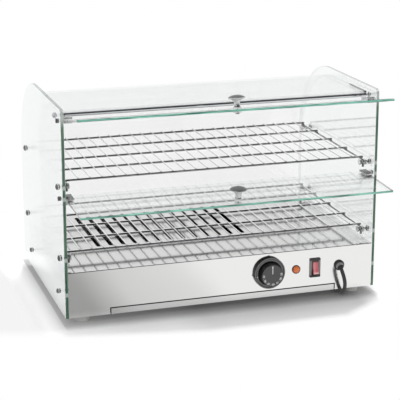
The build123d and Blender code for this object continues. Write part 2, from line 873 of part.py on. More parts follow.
with BuildPart() as pilot_body:
    with BuildSketch(panel_plane()):
        with Locations((lamp_x, control_z)):
            Circle(lamp_body_diameter / 2)
    extrude(amount=-lamp_body_depth)
    with BuildSketch(panel_plane(sheet_metal)):
        with Locations((lamp_x, control_z)):
            RegularPolygon(lamp_body_diameter * 0.75, 6)
    extrude(amount=-3)
    with BuildSketch(panel_plane(lamp_body_depth)):
        with Locations((lamp_x - 3, control_z), (lamp_x + 3, control_z)):
            Rectangle(1.0, 4.0)
    extrude(amount=-7)
finish(pilot_body, "pilot_lamp_body")


# Rocker switch: framed housing and a rocker on trunnions, tipped to its off side

cavity_width = switch_body_width - 2 * switch_wall
cavity_height = switch_body_height - 2 * switch_lip
rocker_width = cavity_width - 2 * rocker_gap
rocker_half = cavity_height / 2 - 1.1
trunnion_reach = switch_wall * 0.7
with BuildPart() as switch_housing:
    with BuildSketch(panel_plane()):
        with Locations((switch_x, control_z)):
            RectangleRounded(switch_width, switch_height, 1.5)
    extrude(amount=switch_flange)
    with BuildSketch(panel_plane()):
        with Locations((switch_x, control_z)):
            Rectangle(switch_body_width, switch_body_height)
    extrude(amount=-switch_depth)
    with BuildSketch(panel_plane(-switch_flange)):
        with Locations((switch_x, control_z)):
            Rectangle(cavity_width, cavity_height)
    extrude(amount=-(switch_flange + switch_depth - 6), mode=Mode.SUBTRACT)
    with BuildSketch(Plane.YZ.offset(switch_x)):
        with Locations((panel_y + rocker_pivot_depth, control_z)):
            Circle(trunnion_diameter / 2 + trunnion_clearance)
    extrude(amount=cavity_width / 2 + trunnion_reach + 0.2, both=True, mode=Mode.SUBTRACT)
    with BuildSketch(panel_plane(switch_depth)):
        with Locations((switch_x, control_z - 8), (switch_x, control_z), (switch_x, control_z + 8)):
            Rectangle(6.0, 1.0)
    extrude(amount=-8)
finish(switch_housing, "switch_housing")

tip = math.radians(rocker_tilt)
rocker_plane = Plane(
    origin=(switch_x, panel_y + rocker_pivot_depth, control_z),
    x_dir=(0, -math.cos(tip), math.sin(tip)),
    z_dir=(1, 0, 0),
)
rocker_front = rocker_pivot_depth + rocker_reach
rocker_back = 5.0
with BuildPart() as switch_rocker:
    with BuildSketch(rocker_plane):
        with BuildLine():
            Polyline(
                (rocker_front, -rocker_half + 0.6),
                (rocker_pivot_depth * 0.1, -rocker_half + 0.6),
                (-rocker_back, -rocker_half * 0.35),
                (-rocker_back, rocker_half * 0.35),
                (rocker_pivot_depth * 0.1, rocker_half - 0.6),
                (rocker_front, rocker_half - 0.6),
            )
            ThreePointArc(
                (rocker_front, rocker_half - 0.6),
                (rocker_front - 1.8, 0),
                (rocker_front, -rocker_half + 0.6),
            )
        make_face()
    extrude(amount=rocker_width / 2, both=True)
    with BuildSketch(rocker_plane):
        Circle(trunnion_diameter / 2)
    extrude(amount=cavity_width / 2 + trunnion_reach, both=True)
finish(switch_rocker, "switch_rocker")


# Cord gland: flange and tapered nose in front, threaded barrel and nut behind

droop = math.radians(gland_droop)
gland_mouth = Plane(
    origin=(gland_x, panel_y - gland_flange - gland_nose, control_z - gland_drop),
    x_dir=(1, 0, 0),
    z_dir=(0, -math.cos(droop), -math.sin(droop)),
)
with BuildPart() as cord_gland:
    with BuildSketch(panel_plane()):
        with Locations((gland_x, control_z)):
            Circle(gland_diameter / 2)
    extrude(amount=gland_flange)
    chamfer(cord_gland.faces().sort_by(Axis.Y)[0].edges(), 0.8)
    with BuildSketch(panel_plane(-gland_flange)):
        with Locations((gland_x, control_z)):
            RegularPolygon(gland_nose_diameter / 2 + 2, 12)
    with BuildSketch(gland_mouth):
        RegularPolygon(gland_nose_diameter / 2, 12)
    loft(ruled=True)
    with BuildSketch(panel_plane()):
        with Locations((gland_x, control_z)):
            Circle(gland_barrel_diameter / 2)
    extrude(amount=-gland_barrel_length)
finish(cord_gland, "cord_gland")

with BuildPart() as gland_nut:
    with BuildSketch(panel_plane(sheet_metal)):
        with Locations((gland_x, control_z)):
            RegularPolygon(gland_diameter / 2 + 1.5, 6)
            Circle(gland_barrel_diameter / 2, mode=Mode.SUBTRACT)
    extrude(amount=-gland_nut_thickness)
finish(gland_nut, "gland_nut")


# Partition between the controls and the hot side, with the terminal block on it

shield_y = front_y + shield_setback
shield_bottom_z = foot_height + notch_height + 3
shield_top_z = pan_top_z - sheet_metal
capillary_z = control_z + thermostat_diameter * 0.38
element_z = deck_z - element_drop
element_xs = [element_right_x - element_pitch * i for i in range(element_passes)]
element_radius = element_diameter / 2
with BuildPart() as heat_shield:
    with BuildSketch(Plane.XZ.offset(-shield_y)):
        with Locations((0, (shield_bottom_z + shield_top_z) / 2)):
            Rectangle(2 * (base_half - sheet_metal), shield_top_z - shield_bottom_z)
        with Locations((element_xs[0], element_z), (element_xs[-1], element_z)):
            Circle(element_radius, mode=Mode.SUBTRACT)
        with Locations((dial_x, capillary_z)):
            Circle(capillary_diameter, mode=Mode.SUBTRACT)
    extrude(amount=-sheet_metal)
finish(heat_shield, "heat_shield")

block_x = (switch_x + gland_x) / 2
with BuildPart() as terminal_block:
    with BuildSketch(Plane.XZ.offset(-shield_y)):
        with Locations((block_x, control_z)):
            Rectangle(block_width, block_height)
    extrude(amount=block_depth)
    with BuildSketch(Plane.XZ.offset(block_depth - shield_y)):
        with Locations((block_x, control_z)):
            with GridLocations(block_width / 4, block_height * 0.5, 4, 2):
                Circle(1.8)
    extrude(amount=-5, mode=Mode.SUBTRACT)
finish(terminal_block, "terminal_block")


# Tubular heater: one rod bent into passes under the slots, on two cross bars

element_front_y = shield_y - element_terminal
element_back_y = back_y - element_rear_setback
element_turn_y = shield_y + element_front_gap
with BuildPart() as heating_element:
    points = [(element_xs[0], element_front_y)]
    for i, x in enumerate(element_xs):
        near, far = (element_turn_y, element_back_y)
        if i > 0:
            points.append((x, far if i % 2 else near))
        if i < len(element_xs) - 1:
            points.append((x, near if i % 2 else far))
    points.append((element_xs[-1], element_front_y))
    with BuildLine(Plane.XY.offset(element_z)) as element_line:
        FilletPolyline(*points, radius=element_bend)
    with BuildSketch(Plane(origin=element_line.wires()[0] @ 0, z_dir=(0, 1, 0))):
        RegularPolygon(element_radius, 8, major_radius=False, rotation=22.5)
    sweep(path=element_line.wires()[0])
finish(heating_element, "heating_element")

bar_top_z = element_z - element_radius
with BuildPart() as element_supports:
    for y in (element_turn_y + support_inset, element_back_y - support_inset):
        with BuildSketch(Plane.XY.offset(bar_top_z)):
            with Locations((0, y)):
                Rectangle(2 * (base_half - sheet_metal), support_bar)
        extrude(amount=-sheet_metal)
        for side in (-1, 1):
            with BuildSketch(Plane.XY.offset(bar_top_z)):
                with Locations((side * (base_half - 1.5 * sheet_metal), y)):
                    Rectangle(sheet_metal, support_bar)
            extrude(amount=support_lug)
finish(element_supports, "element_supports")


# Thermostat bulb under the deck and its capillary through the partition

bulb_y = shield_y + sheet_metal + 22
bulb_z = pan_top_z - bulb_diameter / 2 - 2
capillary_points = [
    (dial_x, panel_y + sheet_metal + thermostat_depth, capillary_z),
    (dial_x, shield_y + sheet_metal + 6, capillary_z),
    (dial_x - capillary_turn, bulb_y, bulb_z - 2),
    (dial_x - capillary_reach, bulb_y, bulb_z),
]
with BuildPart() as thermostat_bulb:
    with BuildLine() as capillary_line:
        FilletPolyline(*capillary_points, radius=6)
    with BuildSketch(Plane(origin=capillary_points[0], z_dir=(0, 1, 0))):
        RegularPolygon(capillary_diameter / 2, 6)
    sweep(path=capillary_line.wires()[0])
    with BuildSketch(Plane(origin=(dial_x - capillary_reach + 1, bulb_y, bulb_z), z_dir=(-1, 0, 0))):
        Circle(bulb_diameter / 2)
    extrude(amount=bulb_length)
finish(thermostat_bulb, "thermostat_bulb")


# Leads inside the front of the base, from the gland and the parts to the block

block_front_y = shield_y - block_depth
gland_back_y = panel_y + gland_barrel_length
switch_back_y = panel_y + switch_depth + 8
lamp_back_y = panel_y + lamp_body_depth + 7
lead_rise = block_height * 0.25


def lead_routes():
    """Straight legs of each lead, as points, with the block's own sockets as their ends."""
    sockets = [block_x + block_width / 4 * (i - 1.5) for i in range(4)]
    return [
        [
            (gland_x - 4, gland_back_y, control_z + 3),
            (gland_x - 4, gland_back_y + 16, control_z + 3),
            (sockets[3], block_front_y - 16, control_z + lead_rise),
            (sockets[3], block_front_y, control_z + lead_rise),
        ],
        [
            (gland_x + 3, gland_back_y, control_z - 4),
            (gland_x + 3, gland_back_y + 16, control_z - 4),
            (sockets[3], block_front_y - 16, control_z - lead_rise),
            (sockets[3], block_front_y, control_z - lead_rise),
        ],
        [
            (switch_x, switch_back_y, control_z + 8),
            (switch_x, switch_back_y + 12, control_z + 8),
            (sockets[0], block_front_y - 12, control_z + lead_rise),
            (sockets[0], block_front_y, control_z + lead_rise),
        ],
        [
            (lamp_x + 3, lamp_back_y, control_z),
            (lamp_x + 3, lamp_back_y + 12, control_z),
            (sockets[0], block_front_y - 12, control_z - lead_rise),
            (sockets[0], block_front_y, control_z - lead_rise),
        ],
    ]


with BuildPart() as inner_leads:
    for route in lead_routes():
        with BuildLine() as lead_line:
            FilletPolyline(*route, radius=5)
        start = lead_line.wires()[0]
        with BuildSketch(Plane(origin=start @ 0, z_dir=start % 0)):
            RegularPolygon(lead_diameter / 2, 8)
        sweep(path=start)
finish(inner_leads, "inner_leads")


# Supply cord: out of the gland, down in a short bow, back under the base to the coil

cord_radius = cord_diameter / 2
cord_floor_z = cord_radius + floor_gap
coil_center_x = half_width - coil_side_inset
coil_center_y = back_y + coil_rear_gap
coil_start = (coil_center_x + coil_entry_radius, coil_center_y)
bow_reach = 2.3 * cord_diameter
cord_route = [
    tuple(gland_mouth.origin),
    tuple(gland_mouth.from_local_coords((0.0, 0.0, bow_reach))),
    (gland_x + 0.6 * cord_diameter, front_y - 3.3 * cord_diameter, foot_height + 2 * cord_diameter),
    (gland_x + cord_diameter, front_y - 0.7 * cord_diameter, cord_floor_z + 0.3),
    (gland_x + 1.3 * cord_diameter, front_y + 0.1 * case_depth, cord_floor_z),
    (gland_x + 0.6 * cord_diameter, front_y + 0.32 * case_depth, cord_floor_z),
    (gland_x - 1.3 * cord_diameter, front_y + 0.57 * case_depth, cord_floor_z),
    (gland_x - 1.9 * cord_diameter, front_y + 0.79 * case_depth, cord_floor_z),
    (gland_x - 2.9 * cord_diameter, front_y + 0.95 * case_depth, cord_floor_z),
    (coil_start[0], back_y + 0.35 * coil_rear_gap, cord_floor_z),
    (coil_start[0], coil_start[1] - cord_diameter, cord_floor_z),
]


def route_radii(points):
    """Largest tangent arc at each inner point: 0.45 of the shorter run over tan of half the turn."""
    radii = []
    for before, here, after in zip(points, points[1:], points[2:]):
        first = Vector(*here) - Vector(*before)
        second = Vector(*after) - Vector(*here)
        half_turn = math.radians(first.get_angle(second)) / 2
        radii.append(0.45 * min(first.length, second.length) / math.tan(half_turn))
    return radii


cord_radii = route_radii(cord_route)
with BuildPart() as power_cord:
    with BuildLine() as cord_line:
        FilletPolyline(*cord_route, radius=cord_radii)
    with BuildSketch(gland_mouth):
        RegularPolygon(cord_radius, 12, major_radius=False)
    sweep(path=cord_line.wires()[0])
finish(power_cord, "power_cord")
cord_length = cord_line.wires()[0].length
section_area = 12 * cord_radius**2 * math.tan(math.pi / 12)
print("cord radii", [round(radius, 1) for radius in cord_radii])
print("cord tube length", round(cord_length, 1), "volume ratio", round(power_cord.part.volume / (section_area * cord_length), 4))


# Coil: two layers that spiral in and out again, then a straight rise to the plug

plug_axis_z = plug_face_diameter / 2 + floor_gap
upper_turns = coil_turns - 0.25


def coil_point(turns):
    """Centre line of the coil after a number of turns: in, a climb as it reverses, and out."""
    reverse = coil_turns + 0.25
    radius = coil_entry_radius - coil_pitch * (reverse - abs(turns - reverse))
    climbed = min(max(turns - coil_turns, 0.0), 0.5)
    angle = 2 * math.pi * turns
    return Vector(
        coil_center_x + radius * math.cos(angle),
        coil_center_y + radius * math.sin(angle),
        cord_floor_z + coil_layer * (1 - math.cos(2 * math.pi * climbed)) / 2,
    )


def coil_tangent(turns, total):
    step = 1e-4
    if turns < step:
        return Vector(0, 1, 0)
    if turns > total - step:
        return Vector(-1, 0, 0)
    return (coil_point(turns + step) - coil_point(turns - step)).normalized()


def biarc(start, start_dir, end, end_dir):
    """Two tangent arcs from one point and direction to another."""
    chord = end - start
    both = start_dir + end_dir
    spread = 2 * (1 - start_dir.dot(end_dir))
    if abs(spread) < 1e-6:
        reach = chord.dot(chord) / (4 * chord.dot(end_dir))
    else:
        root = chord.dot(both) ** 2 + spread * chord.dot(chord)
        reach = (math.sqrt(root) - chord.dot(both)) / spread
    first = start + start_dir * reach
    second = end - end_dir * reach
    middle = (first + second) * 0.5
    TangentArc(start, middle, tangent=start_dir)
    TangentArc(middle, end, tangent=(second - first).normalized())


coil_total = coil_turns + 0.5 + upper_turns
quarter_count = round(coil_total * 4)
with BuildPart() as cord_coil:
    with BuildLine() as coil_line:
        Line(cord_route[-1], coil_point(0))
        for i in range(quarter_count):
            here, there = i / 4, (i + 1) / 4
            biarc(coil_point(here), coil_tangent(here, coil_total), coil_point(there), coil_tangent(there, coil_total))
        coil_end = coil_point(coil_total)
        rise_end = Vector(coil_end.X - plug_rise_length, coil_end.Y, plug_axis_z)
        biarc(coil_end, Vector(-1, 0, 0), rise_end, Vector(-1, 0, 0))
        Line(rise_end, rise_end + Vector(-cord_diameter, 0, 0))
    with BuildSketch(Plane(origin=cord_route[-1], z_dir=(0, 1, 0))):
        RegularPolygon(cord_radius, 8, major_radius=False)
    sweep(path=coil_line.wires()[0])
finish(cord_coil, "cord_coil")
coil_length = coil_line.wires()[0].length
coil_area = 8 * cord_radius**2 * math.tan(math.pi / 8)
samples = [(i / 72, coil_point(i / 72)) for i in range(round(coil_total * 72) + 1)]
least_gap = min(
    (second - first).length - cord_diameter
    for a, first in samples
    for b, second in samples
    if b - a > 0.4
)
print("coil length", round(coil_length, 1), "volume ratio", round(cord_coil.part.volume / (coil_area * coil_length), 4))
print("least gap of the coil to itself", round(least_gap, 2), "total cord", round(cord_length + coil_length, 1))


# Plug: round moulded body with a tapered relief, two pins and side contacts

plug_start = rise_end + Vector(-cord_diameter, 0, 0)


def plug_plane(distance):
    """A plane across the plug's axis, at a distance from where the cord enters."""
    return Plane(origin=plug_start + Vector(-distance, 0, 0), x_dir=(0, 1, 0), z_dir=(-1, 0, 0))


plug_radius = plug_face_diameter / 2
plug_length = plug_relief_length + plug_body_length
plug_side = Plane(origin=plug_start, x_dir=(-1, 0, 0), z_dir=(0, -1, 0))
with BuildPart() as plug_body:
    with BuildSketch(plug_side):
        with BuildLine():
            Polyline(
                (0, 0),
                (0, cord_radius + 1.2),
                (plug_relief_length, cord_radius + 3.5),
                (plug_relief_length, plug_radius * 0.6),
                (plug_relief_length + plug_body_length * 0.5, plug_radius),
                (plug_length, plug_radius),
                (plug_length, 0),
                close=True,
            )
        make_face()
    revolve(axis=Axis(plug_start, (-1, 0, 0)))
    with BuildSketch(plug_plane(plug_length)):
        with Locations((plug_radius, 0), (-plug_radius, 0)):
            Rectangle(plug_radius * 0.36, plug_radius * 0.46)
    extrude(amount=-plug_body_length * 0.5, mode=Mode.SUBTRACT)
finish(plug_body, "plug_body")

with BuildPart() as plug_pins:
    with BuildSketch(plug_plane(plug_relief_length + plug_body_length)):
        with Locations((0, plug_pin_spacing / 2), (0, -plug_pin_spacing / 2)):
            Circle(plug_pin_diameter / 2)
    pins = extrude(amount=plug_pin_length)
    chamfer(pins.faces().sort_by(Axis.X)[:2].edges(), 1.0)
finish(plug_pins, "plug_pins")
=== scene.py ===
"""A heated display case: its finishes and fine pieces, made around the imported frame."""

import json
import math

import bpy
from bpy.props import FloatProperty, FloatVectorProperty, IntProperty, PointerProperty
from mathutils import Matrix, Vector


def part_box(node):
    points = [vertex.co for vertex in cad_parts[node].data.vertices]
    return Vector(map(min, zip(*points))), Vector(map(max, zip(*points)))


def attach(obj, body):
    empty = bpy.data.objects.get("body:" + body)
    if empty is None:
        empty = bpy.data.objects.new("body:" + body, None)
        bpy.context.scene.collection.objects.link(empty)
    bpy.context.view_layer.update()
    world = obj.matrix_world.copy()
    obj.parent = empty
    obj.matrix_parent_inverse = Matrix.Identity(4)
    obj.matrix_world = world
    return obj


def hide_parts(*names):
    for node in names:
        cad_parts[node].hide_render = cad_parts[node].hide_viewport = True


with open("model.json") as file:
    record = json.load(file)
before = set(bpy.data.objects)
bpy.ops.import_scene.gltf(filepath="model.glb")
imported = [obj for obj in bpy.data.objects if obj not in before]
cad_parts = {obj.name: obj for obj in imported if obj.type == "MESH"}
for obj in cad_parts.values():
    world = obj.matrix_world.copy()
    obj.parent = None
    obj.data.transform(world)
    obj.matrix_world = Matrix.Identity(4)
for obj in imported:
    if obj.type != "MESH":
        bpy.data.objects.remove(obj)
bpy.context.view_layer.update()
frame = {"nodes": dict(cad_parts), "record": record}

bl_info = {
    "name": "Heated display case",
    "version": (1, 0, 0),
    "blender": (4, 5, 0),
    "location": "3D View > Sidebar > Display case",
    "description": "Finishes and fine pieces for a heated glass display case",
    "category": "Object",
}

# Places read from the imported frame, in metres

pane_low, pane_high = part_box("right_side_pane")
half_width = pane_high.x
inner_half = pane_low.x
front_y = pane_low.y
back_y = pane_high.y
top_z = pane_high.z
pane_foot_z = pane_low.z
sheet_low, sheet_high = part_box("rear_top_sheet")
panel_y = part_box("base_pan")[0].y
dial_low, dial_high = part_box("thermostat_dial")
dial_x = (dial_low.x + dial_high.x) / 2
control_z = (dial_low.z + dial_high.z) / 2
knob_front_y, knob_back_y = (corner.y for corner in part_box("thermostat_knob"))
lamp_low, lamp_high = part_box("pilot_lamp_lens")
lamp_x = (lamp_low.x + lamp_high.x) / 2
gland_x = sum(corner.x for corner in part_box("cord_gland")) / 2
rocker_low, rocker_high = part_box("switch_rocker")
rocker_x = (rocker_low.x + rocker_high.x) / 2
tray_low, tray_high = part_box("crumb_tray")
rod_y, rod_z = ((low + high) / 2 for low, high in list(zip(*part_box("tie_rod")))[1:])

# Places inside the solids, which their boxes don't give, in metres and degrees

pivot_y = -0.117496
pivot_z = {"upper": 0.365, "lower": 0.2265}
flap_drop = {"upper": 0.113, "lower": 0.119}
flap_angle = {"upper": 101.3, "lower": 87.8}
flap_tail = 0.006
flap_half = 0.285
stud_y = {"front": -0.105496, "rear": 0.192504}
stud_z = {"upper": 0.2446, "lower": 0.114}
base_screw_y = (-0.086496, 0.164504)
base_screw_z = 0.0465
# A pane's front edge shows what lies behind it this much higher for each metre that it lies back,
# and it is painted paler at these levels: painted light for the fittings seen through it
edge_rise = 0.18
behind = [(z, stud_y["front"]) for z in stud_z.values()]
behind += [(pivot_z["lower"], pivot_y), (base_screw_z, base_screw_y[0])]
edge_painted_light_levels = [level + edge_rise * (back - front_y) for level, back in behind]


# Shader terms

def both_sides(operation):
    """An operator's methods, for a term on its left and on its right."""
    def left(term, other):
        return term.maths(operation, term, other)

    def right(term, other):
        return term.maths(operation, other, term)

    return left, right


class Term:
    """A socket of a material's nodes. Arithmetic on it adds Math nodes."""

    __add__, __radd__ = both_sides("ADD")
    __sub__, __rsub__ = both_sides("SUBTRACT")
    __mul__, __rmul__ = both_sides("MULTIPLY")
    __pow__, __rpow__ = both_sides("POWER")

    def __init__(self, tree, socket=None):
        self.tree = tree
        self.socket = socket

    def node(self, kind, settings=None, inputs=None, output=0):
        """Add a node with its settings and its sockets' values or links, and give an output."""
        made = self.tree.nodes.new(kind)
        for name, value in (settings or {}).items():
            if name == "stops":
                elements = made.color_ramp.elements
                for spare in range(len(value) - len(elements)):
                    elements.new(0.5)
                for element, (position, colour) in zip(elements, value):
                    element.position = position
                    element.color = colour
            else:
                setattr(made, name, value)
        for name, value in (inputs or {}).items():
            if isinstance(value, Term):
                self.tree.links.new(value.socket, made.inputs[name])
            else:
                made.inputs[name].default_value = value
        return Term(self.tree, made.outputs[output] if made.outputs else None)

    def maths(self, operation, *values):
        return self.node("ShaderNodeMath", {"operation": operation}, dict(enumerate(values)))

    def __neg__(self):
        return self * -1.0

    def __abs__(self):
        return self.maths("ABSOLUTE", self)


def emptied(owner):
    """A term to start from, in the emptied nodes of a material or world."""
    owner.use_nodes = True
    owner.node_tree.nodes.clear()
    return Term(owner.node_tree)


def higher(first, second):
    return first.maths("MAXIMUM", first, second)


def axis(point, name):
    return point.node("ShaderNodeSeparateXYZ", inputs={0: point}, output=name)


def outward(point, name):
    """How far the surface looks along an axis of its piece, from -1 to 1."""
    return axis(point.node("ShaderNodeTexCoord", output="Normal"), name)


def grain(point, scale, detail=2.0):
    inputs = {"Vector": point, "Scale": scale, "Detail": detail}
    return point.node("ShaderNodeTexNoise", inputs=inputs)


def stretched(point, scale, detail=2.0):
    """Grain with a scale of its own along each axis."""
    spread = point.node("ShaderNodeVectorMath", {"operation": "MULTIPLY"}, {0: point, 1: scale})
    return grain(spread, 1.0, detail)


def rgba(colour):
    """What a colour socket takes, from a term, a colour or a grey."""
    if isinstance(colour, Term):
        return colour
    return (*colour, 1) if isinstance(colour, tuple) else (colour, colour, colour, 1)


def ramp(value, *stops):
    """The value through a ramp of (position, colour or grey) stops."""
    colours = [(position, rgba(colour)) for position, colour in stops]
    return value.node("ShaderNodeValToRGB", {"stops": colours}, {0: value})


def fade(value, low, high):
    """0 up to a low value and 1 from a high one."""
    return ramp(value, (low, 0.0), (high, 1.0))


def tinted(factor, first, second):
    """A colour between two, by a factor."""
    inputs = {0: factor, 6: rgba(first), 7: rgba(second)}
    return factor.node("ShaderNodeMix", {"data_type": "RGBA"}, inputs, output=2)


def raised(height, distance):
    inputs = {"Height": height, "Distance": distance, "Strength": 0.6}
    return height.node("ShaderNodeBump", inputs=inputs)


def principled(colour, roughness, others):
    inputs = {"Base Color": colour, "Roughness": roughness, **others}
    return roughness.node("ShaderNodeBsdfPrincipled", inputs=inputs)


def see_through(point, tint):
    return point.node("ShaderNodeBsdfTransparent", inputs={"Color": (*tint, 1)})


def emission(strength):
    inputs = {"Color": (1, 1, 1, 1), "Strength": strength}
    return strength.node("ShaderNodeEmission", inputs=inputs)


def layered(share, under, over):
    """One shader over another, by the share of the upper one."""
    return share.node("ShaderNodeMixShader", inputs={0: share, 1: under, 2: over})


finishes = {}


def finish(surface):
    """From a function that gives the shader at a point, make one that adds a named finish."""
    def make(name, *values, **settings):
        material = bpy.data.materials.new(name)
        point = emptied(material).node("ShaderNodeTexCoord", output="Object")
        shader = surface(point, *values, **settings)
        point.node("ShaderNodeOutputMaterial", inputs={"Surface": shader})
        finishes[name] = material
    return make


# Finishes. Points are in metres on the piece, and the relief's depths are in metres too

def plated_relief(point):
    return raised(grain(point, 1500.0), 0.000008)


def brush_lines(point):
    return stretched(point, (9, 1900, 1900), 3.0)


def moulded_skin(point):
    return grain(point, 2600.0)


@finish
def glass(point, tint, haze, gain=0.9, power=5):
    """Clear plate with faint wiping marks. Its mirror's share grows towards the edge of sight."""
    head_on = 0.04
    edge_on = point.node("ShaderNodeLayerWeight", inputs={"Blend": 0.5}, output="Facing")
    marks = fade(stretched(point, (14, 14, 5), 4.0), 0.45, 0.75)
    shine = principled((0.93, 0.95, 0.95, 1), 0.02 + marks * 0.1, {"Metallic": 1.0})
    share = head_on + gain * edge_on ** power + marks * haze
    return layered(share, see_through(point, tint), shine)


@finish
def ground_edge(point, dark, light, run, painted_light_above=None, painted_light_levels=()):
    """Edge that gathers the glass's own colour in streaks, with painted light: paler above a height
    and in spots at given levels, standing in for what shows through the edge.
    """
    fine = grain(point, 900.0)
    colour = tinted(fade(stretched(point, run), 0.38, 0.62), dark, light)
    # Painted light: the edge's colour is paled above a height and at the levels where fittings show
    # through it
    if painted_light_above:
        height = axis(point, "Z")
        share = ramp((height - painted_light_above) * 60.0, (0.0, 0.0), (1.0, 0.85))
        for level in painted_light_levels:
            near = ramp(abs(height - level) * 100.0, (0.25, 0.75), (0.45, 0.0))
            share = higher(share, near)
        colour = tinted(share, colour, (0.56, 0.62, 0.59))
    others = {"Coat Weight": 0.4, "Normal": raised(fine, 0.00005)}
    return principled(colour, 0.10 + fine * 0.15, others)


@finish
def pale_edge(point, dark, light, share, above=0.0, ahead=None, gloss=1.0):
    """Edge that looks through the plate, less so where it looks up or lies ahead of a place."""
    streaks = stretched(point, (25, 60, 60), 3.0)
    sheen = {"Coat Weight": 0.3 * gloss, "Specular IOR Level": 0.5 * gloss}
    ground = principled(tinted(streaks, dark, light), 0.15 + streaks * 0.2, sheen)
    amount = share + streaks * share + fade(outward(point, "Z"), 0.55, 1.0) * above
    # Ahead of a place, faces that look sideways take the dark ground tone: painted shade for how an
    # end looks through the plate's thickness
    if ahead is not None:
        forward = fade((ahead - axis(point, "Y")) * 60.0, 0.0, 1.0)
        amount = amount + forward * fade(abs(outward(point, "X")), 0.6, 0.9)
    return layered(amount, see_through(point, (0.97, 0.98, 0.975)), ground)


@finish
def polished(point, dark, light, roughness):
    """Plated or polished metal with faint clouding."""
    clouds = grain(point, 60.0, 3.0)
    others = {"Metallic": 1.0, "Normal": plated_relief(point)}
    return principled(tinted(clouds, dark, light), roughness + clouds * 0.05, others)


@finish
def painted_reflection_metal(
    point, side, top, roughness, span=(0.70, 0.85), metal=(1.0, 1.0), matt=0.0, painted_flecks=0, under=0,
):
    """Plated metal with painted reflections: another tone, metal share and roughness where it looks
    up, in random specks and in a share of its underside, painted to stand in for the light and dark
    that the metal mirrors."""
    level = fade(outward(point, "Z"), *span)
    if under:
        level = higher(level, ramp(-outward(point, "Z"), (0.0, 0.0), (0.6, under)))
    if painted_flecks:
        level = higher(level, ramp(grain(point, 210.0, 3.0), (0.48, 0.0), (0.66, painted_flecks)))
    rough = roughness + grain(point, 60.0, 3.0) * 0.05 + level * matt
    metallic = metal[0] + level * (metal[1] - metal[0])
    others = {"Metallic": metallic, "Normal": plated_relief(point)}
    return principled(tinted(level, side, top), rough, others)


@finish
def brushed(point, dark, light, roughness, depth, rim=None):
    """Sheet metal brushed along its width. A rim is painted shade: a dark tone for a level sheet's
    faces that don't look up, which darkens its edges and the seam below them.
    """
    lines = brush_lines(point)
    clouds = stretched(point, (7, 12, 12))
    colour = tinted(lines * 0.5 + clouds * 0.5, dark, light)
    # Painted shade: where a level sheet's faces don't look up, they take the rim's dark tone
    if rim:
        colour = tinted(fade(outward(point, "Z"), 0.4, 0.7), rim, colour)
    others = {"Metallic": 1.0, "Anisotropic": 0.3, "Normal": raised(lines, depth)}
    return principled(colour, roughness + lines * 0.06 + clouds * 0.04, others)


@finish
def moulded(point, dark, light, roughness, depth=0.00003, coat=0.0):
    """Moulded plastic or rubber with a fine spark-eroded skin."""
    skin = moulded_skin(point)
    others = {"Coat Weight": coat, "Normal": raised(skin, depth)}
    return principled(tinted(grain(point, 45.0, 3.0), dark, light), roughness + skin * 0.12, others)


@finish
def tray_front(point, dark, light):
    """Brushed tray whose front strip is painted near black along its top and ends: painted shade
    for the gap around it.
    """
    painted_shade_width = 0.0011
    lines = brush_lines(point)
    beside = abs(axis(point, "X") - (tray_low.x + tray_high.x) / 2)
    end = beside - (tray_high.x - tray_low.x) / 2 + painted_shade_width
    # Painted shade: the front strip's top and ends are painted near black, for the gap around the
    # tray
    rim = fade(higher(end, axis(point, "Z") - tray_high.z + painted_shade_width) * 1000.0, 0.0, 0.2)
    rim = rim * fade(-outward(point, "Y"), 0.5, 0.8)
    others = {"Metallic": 1.0, "Normal": raised(lines, 0.000006)}
    return principled(tinted(rim, tinted(lines, dark, light), 0.03), 0.12 + lines * 0.06, others)


@finish
def painted_lit_front(point, side, front, roughness):
    """Moulded plastic with painted light: a pale matt front, painted as if lit, and near-black
    walls, painted as if in shade.
    """
    skin = moulded_skin(point)
    ahead = fade(-outward(point, "Y"), 0.80, 0.96)
    colour = tinted(ahead * (0.8 + grain(point, 45.0, 3.0) * 0.4), side, front)
    others = {"Specular IOR Level": 0.25, "Normal": raised(skin, 0.00003)}
    return principled(colour, roughness + skin * 0.12, others)


@finish
def framed(point, ends, body):
    """Moulded switch frame, darker at its upper and lower ends."""
    skin = grain(point, 900.0, 3.0)
    reach = abs(axis(point, "Z") - control_z) * 40.0 + (skin - 0.5) * 0.12
    away = ramp(reach, (0.50, 1.0), (0.60, 0.0))
    colour = tinted(away * (0.7 + skin * 0.6), ends, body)
    return principled(colour, 0.3 + skin * 0.2, {"Normal": raised(skin, 0.00005)})


@finish
def rocker_skin(point, deep, middle, pale):
    """Translucent rocker: deep at its upper end and left side, pale at its lower end, with a
    painted highlight, a lighter band, down its middle. It glows faintly with its own colour."""
    painted_highlight_shift = 0.0012
    across = axis(point, "X")
    rise = (axis(point, "Z") - control_z) * 40.0 + 0.5
    rise = ramp(rise, (0.08, 1.0), (0.26, 0.5), (0.86, 0.40), (0.95, 0.0))
    rise = rise * fade((across - rocker_low.x) * 150.0, 0.62, 0.78)
    # Painted highlight: a lighter band down the rocker's middle
    painted_highlight = ramp(abs(across - rocker_x + painted_highlight_shift) * 250.0, (0.15, 1.0), (0.85, 0.0))
    patches = grain(point, 500.0)
    body = ramp(rise, (0.0, deep), (0.42, middle), (0.62, middle), (1.0, pale))
    colour = tinted(painted_highlight * rise * (0.25 + patches * 0.9), body, pale)
    others = {"Coat Weight": 0.4, "Emission Color": colour, "Emission Strength": 0.06}
    return principled(colour, 0.2 + patches * 0.1, others)


@finish
def lens(point, deep, bright, glow):
    """Clear coloured plastic over a lamp, brighter in patches where it gathers light."""
    patches = fade(grain(point, 260.0), 0.35, 0.65)
    colour = tinted(patches, deep, bright)
    others = {"Coat Weight": 0.6, "Emission Color": colour, "Emission Strength": glow}
    return principled(colour, 0.12 + patches * 0.1, others)


